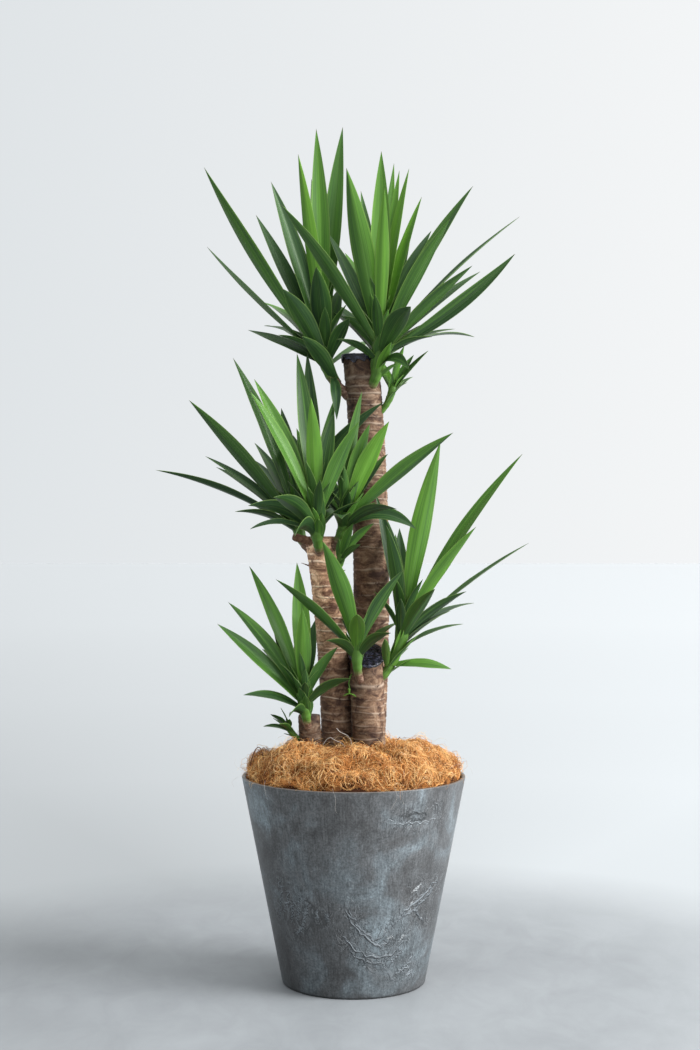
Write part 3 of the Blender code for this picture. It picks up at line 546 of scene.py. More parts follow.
def bark_point(cane, low, high, phase, share, turn):
    """A point of the bark between two scars: its place, its crease, its lip and its painted shade."""
    out = around(turn)
    spot = out * cane.radius * 30
    ends = []
    for height, tilt, row in (low, high):
        wander = noise.noise(spot * 1.6 + Vector((0, 0, row * 2.3)))
        settled = 0.0 if height >= cane.top[2] else SCAR_WANDER * wander
        ends.append(height + tilt * math.cos(turn - phase * row) + settled)
    z = ends[0] + (ends[1] - ends[0]) * share
    halfway = noise.noise(spot * 1.9 + Vector((0, 0, low[2] * 4.7 + 20)))
    z += SCAR_WANDER * halfway * math.sin(math.pi * share)
    x, y = spot.x, spot.y
    force = 0.55 + 0.75 * noise.noise(Vector((x, y, z * 30)) * 1.3 + Vector((0, 0, 40)))
    rough = lump(x * 1.5, y * 1.5, z * 420)
    cracks = lump(x * 7, y * 7, z * 60)
    oval = CANE_OVAL * math.sin(2 * turn + phase)
    radius = cane.radius * (1 + oval) + scar_profile(share) * max(0.15, min(0.80, force))
    radius += (0.40 * rough + 0.25 * cracks) * MM
    if cane.name in SWELLS:
        swell_height, spread, size = SWELLS[cane.name]
        radius += max(0.0, size * math.cos(turn)) * hump(z, swell_height, spread)
    point = cane_axis(cane, z) + out * radius
    if high[0] == cane.top[2]:
        cut = cut_height(cane, point.y)
        point.z = cut if share == 1.0 else z + (cut - cane.top[2]) * share
    shown = clamped(0.60 + 1.7 * lump(x * 1.1, y * 1.1, round(share) + low[2] * 5.3))
    split = clamped(2.4 * lump(x * 0.9, y * 0.9, low[2] * 3.1 + 60))
    crease = hump(min(share, 1.0 - share), 0.0, 0.065) * shown + split * hump(share, SMALL_SCAR_AT, 0.06)
    lip = hump(share, LIP_AT, 0.055) * shown + 0.8 * split * hump(share, SMALL_LIP_AT, 0.05)
    return (*point, crease, lip, painted_bark_shade(cane, z, turn))


def bark_rows(cane):
    """Rows of points up a cane, from the foot's middle to the top's. A scar is its height, its tilt and
    its row."""
    rule = random.Random(f"{SEED}{cane.name}")
    phase = rule.uniform(0, math.tau)
    scars = [(SOIL_TOP + 0.004, 0.0, 0)]
    height = SOIL_TOP + FIRST_SCAR
    while height < cane.top[2] - 1.1 * SCAR_SPACING:
        scars.append((height, rule.uniform(-SCAR_TILT, SCAR_TILT), 2 * len(scars)))
        height += SCAR_SPACING * rule.uniform(0.75, 1.25)
    scars.append((cane.top[2], 0.0, 2 * len(scars)))
    turns = [math.tau * column / CANE_COLUMNS for column in range(CANE_COLUMNS)]
    plain = (0.0, 0.0, 0.5)
    foot, top = cane_axis(cane, CANE_FOOT), cane_axis(cane, cane.top[2])
    rows = [[(*foot, *plain)] * CANE_COLUMNS]
    rows.append([(*(foot + around(turn) * cane.radius), *plain) for turn in turns])
    for low, high in zip(scars, scars[1:]):
        for part in range(SCAR_STEPS + (high is scars[-1])):
            rows.append([bark_point(cane, low, high, phase, part / SCAR_STEPS, turn) for turn in turns])
    rows.append([(top.x, top.y, cane.top[2] + cane.cut_rise / 2, *plain)] * CANE_COLUMNS)
    return rows


def bark_finish(cane):
    """Mottled brown bark: dark creases, pale lips, reddish and tan patches."""
    bark = Finish(cane.name + "_bark", 0.75, 0.3)
    patches = bark.grain(42.0, 7.0, 0.7, 0.7, bark.place(1, 1, 1.5))
    layers = bark.grain(150.0, 5.0, 0.7, 0.5, bark.place(0.45, 0.45, 1.8))
    flecks = bark.grain(420.0, 3.0, 0.7, at=bark.place(1, 1, 0.5))
    body = bark.plus(bark.times(patches, 0.78), bark.times(layers, 0.22))
    bark.begin(body, (0.39, (0.085, 0.038, 0.024)), (0.46, (0.195, 0.103, 0.06)),
               (0.53, (0.362, 0.212, 0.126)), (0.62, (0.61, 0.415, 0.272)))
    bark.mottle(0.5, flecks, 0.3, 0.7, 0.3, 0.7)
    crease = bark.times(bark.attribute("crease"), bark.band(layers, 0.42, 0.6))
    lip = bark.times(bark.attribute("lip"), bark.band(patches, 0.38, 0.49))
    bark.stain(crease, 0.8, (0.06, 0.028, 0.02))
    bark.stain(lip, 0.9, (0.9, 0.7, 0.53))
    # Painted light and shade, noted up each cane and round it
    bark.shade(bark.attribute("shade"))
    bark.bump(bark.plus(layers, bark.times(flecks, 0.5)), 0.8 * MM, 0.9)
    return bark.paint()


for cane in CANES:
    piece = rolled(CANE_COLUMNS, bark_rows(cane), "crease", "lip", "shade")
    finished(piece, cane.name.replace("cane", "bark"), bark_finish(cane), cane.name, cane.name, angle=60)

# Coconut fibre
# Loose orange-brown coir laid over the soil right up to the rim: a lumpy mound of matted fibre with
# hollows darkened by painted shade, covered in thousands of fine curly strands, some standing up or over the
# rim.

MOUND_TOP = 0.386
MOUND_FLAT_RADIUS = 0.095
MOUND_SLOPE = 0.08
MOUND_DROP = 0.042
MOUND_LUMP = 0.018
TUFTS_PER_METRE = 26
HOLLOWS_PER_METRE = 58
MOUND_GAP = 0.8 * MM
MOUND_RADIUS = RIM_RADIUS - POT_WALL - MOUND_GAP
MOUND_SIDES = 180
MOUND_RINGS = 60
MAT_STRANDS = 12000
STRAND_STEPS = 6
STRAND_RADIUS = (0.17 * MM, 0.36 * MM)
HAIRS = 1400
HAIR_STEPS = 8
BRIGHTEST = 0.88
# How far out strands may take root, lie, and stay inside the wall, and how high one lies over the rim
ROOT_REACH = MOUND_RADIUS - 0.002
LIE_REACH = MOUND_RADIUS - 0.0015
WALL_REACH = MOUND_RADIUS - 0.003
OVER_RIM = POT_HEIGHT + 0.0015


def hollows(x, y):
    return lump(x * HOLLOWS_PER_METRE, y * HOLLOWS_PER_METRE, 4.1)


def mound_height(x, y):
    """Top of the fibre mound: a plateau that rounds off to the rim, with tufts and hollows."""
    edge = max(0.0, (math.hypot(x, y) - MOUND_FLAT_RADIUS) / MOUND_SLOPE)
    tufts = lump(x * TUFTS_PER_METRE, y * TUFTS_PER_METRE, 1.7)
    return MOUND_TOP - MOUND_DROP * edge**2.0 + MOUND_LUMP * (tufts + 0.6 * hollows(x, y))


def hollow_painted_shade(x, y):
    """How much painted shade a place gets, from 0 to 1: more deep in a hollow of the mound and by the rim."""
    pits = lump(x * 80, y * 80, 8.3)
    rim_gap = max(0.0, math.hypot(x, y) / MOUND_RADIUS - 0.90) * 8.0
    return clamped(0.24 - 2.3 * hollows(x, y) - 1.5 * pits + rim_gap)


mound = fresh(
    bpy.ops.mesh.primitive_cylinder_add,
    vertices=MOUND_SIDES,
    radius=MOUND_RADIUS,
    depth=POT_HEIGHT - SOIL_TOP,
    location=(0.0, 0.0, (POT_HEIGHT + SOIL_TOP) / 2),
)
bpy.ops.object.transform_apply(location=True, rotation=False, scale=False)
bpy.ops.object.mode_set(mode="EDIT")
choose(mound, "FACE", lambda face: face.normal.z > 0.9)
for ring in range(MOUND_RINGS):
    bpy.ops.mesh.inset(thickness=MOUND_RADIUS * 0.97 / MOUND_RINGS)
bpy.ops.object.mode_set(mode="OBJECT")
for point in mound.data.vertices:
    if point.co.z > POT_HEIGHT - 0.001:
        x, y = point.co.x, point.co.y
        point.co.z = mound_height(x, y) - 3.0 * MM + 2.0 * MM * lump(x * 180, y * 180, 2.2)
    elif point.co.z < SOIL_TOP + 0.001:
        shrink = (pot_radius(SOIL_TOP) - POT_WALL - MOUND_GAP) / MOUND_RADIUS
        point.co.x *= shrink
        point.co.y *= shrink
        point.co.z = SOIL_TOP + 0.5 * MM
note(mound, hollow=[hollow_painted_shade(point.co.x, point.co.y) for point in mound.data.vertices])

draw = np.random.default_rng(SEED)


def mound_normal(x, y):
    """The way that points straight out of the mound's skin."""
    step = 4.0 * MM
    fall_x = mound_height(x - step, y) - mound_height(x + step, y)
    fall_y = mound_height(x, y - step) - mound_height(x, y + step)
    return Vector((fall_x, fall_y, 2.0 * step)).normalized()


def clear_of_canes(x, y):
    centres = [(cane_axis(cane, MOUND_TOP), cane.radius) for cane in CANES]
    return all(math.hypot(x - centre.x, y - centre.y) >= radius + 1.5 * MM for centre, radius in centres)


def strand_roots(count, inner, outer):
    """Places for strands, spread evenly over a ring of the mound and clear of the canes."""
    roots = []
    while len(roots) < count:
        radius = math.sqrt(draw.uniform(inner * inner, outer * outer))
        turn = draw.uniform(0, math.tau)
        x, y = radius * math.cos(turn), radius * math.sin(turn)
        if clear_of_canes(x, y):
            roots.append((x, y))
    return roots


def mat_strands(name, count):
    """Curly strands that lie matted on the mound, neighbours lying roughly the same way."""
    paths = np.zeros((count, STRAND_STEPS, 3))
    tones = np.zeros(count)
    thick = draw.uniform(*STRAND_RADIUS, count)
    for number, (x, y) in enumerate(strand_roots(count, 0.0, ROOT_REACH)):
        heading = 7.0 * lump(x * 46, y * 46, 0.5) + draw.normal(0.0, 0.8)
        steep = math.hypot(x, y) / MOUND_RADIUS
        if steep > draw.uniform(0.55, 1.05):
            heading = math.atan2(y, x) + math.pi / 2 + draw.normal(0.0, 0.65)
        length = draw.uniform(0.014, 0.040)
        bend = draw.normal(0.0, 3.6)
        tuft = max(0.0, 0.5 + 1.6 * lump(x * 62, y * 62, 6.1))
        rise = draw.uniform(0.001, 0.005) + 0.010 * tuft * draw.uniform(0.0, 1.0) ** 2
        lay = draw.uniform(-0.0030, 0.0020)
        spot = Vector((x, y, 0.0))
        for step in range(STRAND_STEPS):
            share = step / (STRAND_STEPS - 1)
            if step:
                spot += around(heading + bend * (share - 0.5)) * length / (STRAND_STEPS - 1)
            reach = math.hypot(spot.x, spot.y)
            if reach > LIE_REACH:
                spot *= LIE_REACH / reach
            lifted = Vector((spot.x, spot.y, mound_height(spot.x, spot.y)))
            lifted += mound_normal(spot.x, spot.y) * (lay + rise * math.sin(math.pi * share))
            reach = math.hypot(lifted.x, lifted.y)
            if reach > WALL_REACH and lifted.z < POT_HEIGHT + 0.010:
                lifted.x *= WALL_REACH / reach
                lifted.y *= WALL_REACH / reach
            paths[number, step] = lifted
        # Strands in hollows or lying low are darker and those in tufts paler: painted shade and light
        tone = draw.uniform(0.16, 1.00) * (1.0 - 0.90 * hollow_painted_shade(x, y)) + 60 * lay + 0.14 * tuft
        # Whole tufts are a little lighter or darker than their neighbours
        tone += 0.16 * steep**3 + 0.34 * lump(x * 32, y * 32, 12.0)
        tones[number] = min(tone, BRIGHTEST)
    piece = strands(name, paths, np.repeat(thick[:, None], STRAND_STEPS, axis=1))
    note(piece, tone=np.repeat(tones, STRAND_STEPS * 3))
    return piece


def loose_hairs(name, count):
    """Fine hairs that stand up from the mound or reach out over the rim."""
    paths = np.zeros((count, HAIR_STEPS, 3))
    thick = np.linspace(1.0, 0.55, HAIR_STEPS)[None, :] * draw.uniform(0.13, 0.25, count)[:, None] * MM
    for number, (x, y) in enumerate(strand_roots(count, 0.03, ROOT_REACH)):
        heading = math.atan2(y, x) + draw.normal(0.0, 1.2)
        climb = draw.uniform(0.0, 1.25)
        length = draw.uniform(0.010, 0.032)
        bend = draw.normal(0.0, 2.4)
        fall = draw.uniform(0.4, 2.2)
        spot = Vector((x, y, mound_height(x, y) - 0.002))
        for step in range(HAIR_STEPS):
            share = step / (HAIR_STEPS - 1)
            if step:
                turn = heading + bend * share
                slope = climb - fall * share
                level = math.cos(slope)
                ahead = Vector((math.cos(turn) * level, math.sin(turn) * level, math.sin(slope)))
                spot += ahead * length / (HAIR_STEPS - 1)
            reach = math.hypot(spot.x, spot.y)
            if ROOT_REACH < reach < RIM_RADIUS + 0.001 and spot.z < OVER_RIM:
                spot.z = OVER_RIM
            paths[number, step] = spot
    piece = strands(name, paths, thick)
    note(piece, tone=np.repeat(draw.uniform(0.40, BRIGHTEST, count), HAIR_STEPS * 3))
    return piece


coir_mat = Finish("coir_mat", 0.95, 0.15)
mat_grain = coir_mat.grain(260.0, 6.0, 0.75, 1.5)
coir_mat.begin(mat_grain, (0.32, (0.09, 0.03, 0.01)), (0.55, (0.32, 0.125, 0.034)),
               (0.72, (0.56, 0.25, 0.07)))
# Painted shade in the hollows of the mound and in the gap by the rim
coir_mat.stain(coir_mat.attribute("hollow"), 1.0, (0.05, 0.018, 0.008))
coir_mat.bump(mat_grain, 2.5 * MM)
coir_mat.paint()
finished(mound, "coir_mound", coir_mat.surface, "coir_mulch", "coir_mulch", angle=80)

fibre = Finish("coir_fibre", 0.65, 0.35)
fibre_tone = fibre.plus(fibre.attribute("tone"), fibre.times(fibre.plus(fibre.grain(150.0, 3.0), -0.5), 0.35))
# Past the brightest fibre the colour turns to the grey of dry roots
fibre.begin(
    fibre_tone,
    (0.0, (0.09, 0.03, 0.01)),
    (0.22, (0.38, 0.13, 0.032)),
    (0.5, (0.76, 0.33, 0.082)),
    (0.88, (1.0, 0.67, 0.29)),
    (1.0, (0.56, 0.52, 0.47)),
)
fibre.paint()
for number in (1, 2, 3):
    strip = mat_strands(f"coir_fibres_{number}", MAT_STRANDS // 3)
    finished(strip, f"coir_fibres_{number}", fibre.surface, "coir_mulch", angle=180)
finished(loose_hairs("coir_hairs", HAIRS), "coir_hairs", fibre.surface, "coir_mulch", angle=180)

# Single wisps and dry roots that stand out from the mat. The thickness is in millimetres, and the points
# are millimetres right of the middle, out towards the front and up from the floor.
Wisp = namedtuple("Wisp", "thick tone points")
WISPS = (
    Wisp(0.75, -0.1, ((-170, 30, 356), (-166, 34, 376), (-158, 38, 393), (-150, 40, 388), (-147, 42, 368))),
    Wisp(0.16, 1.2, ((-140, 122, 350), (-142, 127, 342), (-139, 128, 327), (-136, 126, 318))),
    Wisp(0.15, 1.2, ((-34, 178, 346), (-31, 186, 340), (-27, 185, 326), (-30, 184, 314), (-25, 182, 306))),
    Wisp(0.15, 1.2, ((62, 168, 347), (66, 175, 340), (68, 173, 328), (60, 174, 317), (57, 173, 310))),
    Wisp(0.15, 1.2, ((72, 166, 346), (76, 171, 339), (75, 169, 326), (79, 167, 318))),
    Wisp(0.14, 1.2, ((-168, 60, 350), (-184, 62, 356), (-194, 60, 366), (-190, 58, 378))),
    Wisp(0.14, 1.2, ((-166, 74, 350), (-186, 76, 349), (-198, 74, 340), (-193, 72, 330))),
    Wisp(0.14, 1.2, ((150, 80, 360), (170, 84, 372), (186, 84, 368), (192, 82, 352))),
    Wisp(0.22, 1.0, ((120, 60, 384), (128, 62, 402), (140, 62, 410), (154, 60, 404))),
    Wisp(0.22, 1.0, ((-96, 60, 388), (-102, 62, 406), (-114, 62, 414), (-124, 60, 408))),
    Wisp(0.5, 1.1, ((-29, 46, 424), (-23, 48, 417), (-17, 49, 415), (-5, 50, 408), (-3, 50, 394))),
    Wisp(0.5, 1.1, ((-52, 46, 392), (-41, 50, 411), (-30, 52, 403), (-20, 54, 401), (-12, 54, 390))),
    Wisp(0.9, 0.1, ((62, 30, 388), (70, 34, 400), (76, 36, 408))),
)
WISP_STEPS = 16
WISP_SIDES = 5


def wisp_pieces():
    paths = np.zeros((len(WISPS), WISP_STEPS, 3))
    radii = np.zeros((len(WISPS), WISP_STEPS))
    for number, wisp in enumerate(WISPS):
        for step in range(WISP_STEPS):
            share = step / (WISP_STEPS - 1)
            before = along_line(wisp.points, max(0.0, share - 0.08))
            after = along_line(wisp.points, min(1.0, share + 0.08))
            spot = (before + after) / 2 * MM
            paths[number, step] = (spot.x, -spot.y, spot.z)
            radii[number, step] = wisp.thick * MM * (1.0 - 0.35 * share)
    piece = strands("coir_wisps", paths, radii, WISP_SIDES)
    note(piece, tone=np.repeat([wisp.tone for wisp in WISPS], WISP_STEPS * WISP_SIDES))
    return piece


finished(wisp_pieces(), "coir_wisps", fibre.surface, "coir_mulch", angle=180)

# Wax on the sawn tops
# Black sealing wax brushed over the cut ends of the tall and the short cane. It is glossy and wrinkled,
# and its skirt runs unevenly down the bark.

GAP = 0.3 * MM
WAX_THICK = 1.3 * MM
WAX_COLUMNS = 72


def wax_cap(cane, skirt_low, skirt_wave, wrinkle):
    """A cap over a sawn top, whose skirt hangs down by skirt_low with a wave and whose skin is wrinkled."""
    inner = cane.radius + SCAR_BULGE + CANE_OVAL * cane.radius - 1.2 * MM
    outer = cane.radius + SCAR_BULGE + CANE_OVAL * cane.radius + GAP + WAX_THICK
    rings = [(inner, "low", 0.0)]
    for share in (0.0, 0.15, 0.35, 0.6, 0.8, 1.0):
        rings.append((outer + 0.4 * MM * math.sin(math.pi * share), "skirt", share))
    rings += [(outer * share, "top", share) for share in (0.97, 0.90, 0.78, 0.62, 0.46, 0.30, 0.15)]
    top = cane.top[2]
    centre = cane_axis(cane, top)
    rows = [[Vector((centre.x, centre.y, top - skirt_low))] * WAX_COLUMNS]
    for radius, kind, share in rings:
        row = []
        for column in range(WAX_COLUMNS):
            turn = math.tau * column / WAX_COLUMNS
            y = radius * math.sin(turn)
            cut = cut_height(cane, cane.top[1] + y) + GAP + WAX_THICK
            skirt = skirt_low + skirt_wave * math.sin(2 * turn + 0.7) * math.cos(turn)
            skirt *= 0.70 + 0.75 * lump(math.cos(turn) * 4, math.sin(turn) * 4, 1.0)
            height = cut if kind == "top" else cut - skirt * (1.0 - share)
            axis = cane_axis(cane, min(height, top))
            point = Vector((axis.x + radius * math.cos(turn), axis.y + y, height))
            fold = 0.9 - 2.2 * abs(noise.noise(point * 90))
            fold += 0.8 * noise.noise(point * 230 + Vector((3, 1, 7)))
            if kind == "top":
                point.z += wrinkle * fold
            elif kind == "skirt":
                point += around(turn) * wrinkle * 0.5 * fold
            row.append(point)
        rows.append(row)
    rows.append([Vector((centre.x, centre.y, top + cane.cut_rise / 2 + GAP + WAX_THICK))] * WAX_COLUMNS)
    return rolled(WAX_COLUMNS, rows)


wax = Finish("sealing_wax", 0.26, 0.45)
wax_folds_and_glints = wax.grain(110.0, 5.0, 0.6, 1.2)
wax.bump(wax_folds_and_glints, 1.6 * MM)
# The palest stops on the fold crests are painted glints
wax.begin(wax_folds_and_glints, (0.42, (0.004, 0.004, 0.006)), (0.54, (0.012, 0.013, 0.024)),
          (0.66, (0.06, 0.062, 0.1)), (0.74, (0.19, 0.195, 0.25)))
wax.paint()
wax_tall = wax_cap(CANES[0], 0.016, 0.004, 0.9 * MM)
finished(wax_tall, "wax_tall", wax.surface, "sealant_tall", "sealant_tall", angle=70)
wax_short = wax_cap(CANES[2], 0.005, 0.001, 1.5 * MM)
finished(wax_short, "wax_short", wax.surface, "sealant_short", "sealant_short", angle=70)

# Stub and thorn of the middle cane
# A sawn-off side branch at the top left, in the same bark with a darker cut end, and a small dry thorn
# lower down. Both grow out of the cane.

STUB_START = Vector((-0.056, 0.0, 0.722))
STUB_END = Vector((-0.1, -0.012, 0.735))
STUB_RADIUS = 7.5 * MM
STUB_STEPS = 24
UP = Vector((0, 0, 1))
ASKEW = Vector((0.31, -0.95, 0.05))


def ring_round(centre, along, radius, columns, sway=ASKEW):
    """Points in a ring that is square to the way along. Sway sets where the first one lies."""
    across = along.cross(sway).normalized()
    up = across.cross(along)
    turns = [math.tau * column / columns for column in range(columns)]
    return [centre + (across * math.cos(turn) + up * math.sin(turn)) * radius for turn in turns]


def branch(columns, stations, sway=ASKEW):
    """A round branch through stations of a centre and a radius, closed at both ends."""
    rows = [[stations[0][0]] * columns]
    for number, (centre, radius) in enumerate(stations):
        before = stations[max(0, number - 1)][0]
        after = stations[min(len(stations) - 1, number + 1)][0]
        rows.append(ring_round(centre, (after - before).normalized(), radius, columns, sway))
    rows.append([stations[-1][0]] * columns)
    return rolled(columns, rows)


stub_stations = []
for step in range(STUB_STEPS + 1):
    share = step / STUB_STEPS
    ringed = 0.5 * MM * math.cos(share * 22) + 0.4 * MM * lump(share * 9, 2.0, 1.0)
    radius = STUB_RADIUS * (1.0 - 0.15 * share) + ringed - (1.0 * MM if step == STUB_STEPS else 0.0)
    stub_stations.append((STUB_START.lerp(STUB_END, share), radius))
stub_bark = Finish("stub_bark", 0.8, 0.3)
stub_grain = stub_bark.grain(160.0, 6.0, 0.7)
stub_bark.bump(stub_grain, 1.2 * MM)
stub_bark.begin(stub_grain, (0.35, (0.05, 0.022, 0.012)), (0.55, (0.17, 0.085, 0.05)),
                (0.7, (0.33, 0.2, 0.13)))
stub_bark.paint()
finished(branch(32, stub_stations, UP), "stub_sawn", stub_bark.surface, "stub_middle", "stub_middle")
thorn_start = cane_axis(CANES[1], 0.686) + Vector((-0.024, 0.0, 0.0))
thorn_stations = [
    (thorn_start + Vector((-0.014 * share, -0.001, 0.005 * share)), (1.5 - 1.2 * share) * MM)
    for share in (0.0, 0.2, 0.4, 0.6, 0.8, 1.0)
]
finished(branch(10, thorn_stations, UP), "thorn_middle", stub_bark.surface, "stub_middle")

# Leafy heads
# Each head is a short stem that grew from a bud on its cane, woody at its foot and clasped by the bases
# of its sword-shaped leaves. A leaf is one channelled blade with fine veins and a thin paler edge.

EYE = Vector((-0.006, -2.775, 0.754))
RIB_THICK = 2.0 * MM
CHANNEL = 0.15
NECK = 0.46
WIDEST = 0.54
LEAF_STATIONS = (0.0, 0.2, 0.46, 0.72, 1.0)
BOWED_STATIONS = (0.0, 0.18, 0.38, 0.6, 0.81, 1.0)
BOWED = 0.008
CLEARANCE = 0.9 * MM
STEM_SWELL = 0.35
ROOT_NARROW = 0.5
LOWEST_ROOT = 0.56
ROOT_RANGE = 0.42
FILL_SWING = 70
FILL_TREMBLE = 6
FILL_CLIMB = (2, 74)
FILL_WIDTH = 12
FILL_WIDTH_PER_REACH = 0.055
GOLDEN_ANGLE = math.radians(137.5)

Leaf = namedtuple("Leaf", "seen_x seen_z depth width bow facing tone root", defaults=(None,))
Sprig = namedtuple("Sprig", "tip width bow facing tone root")
Head = namedtuple("Head", "name cane start bend crown stem_radius fill reach leaves")
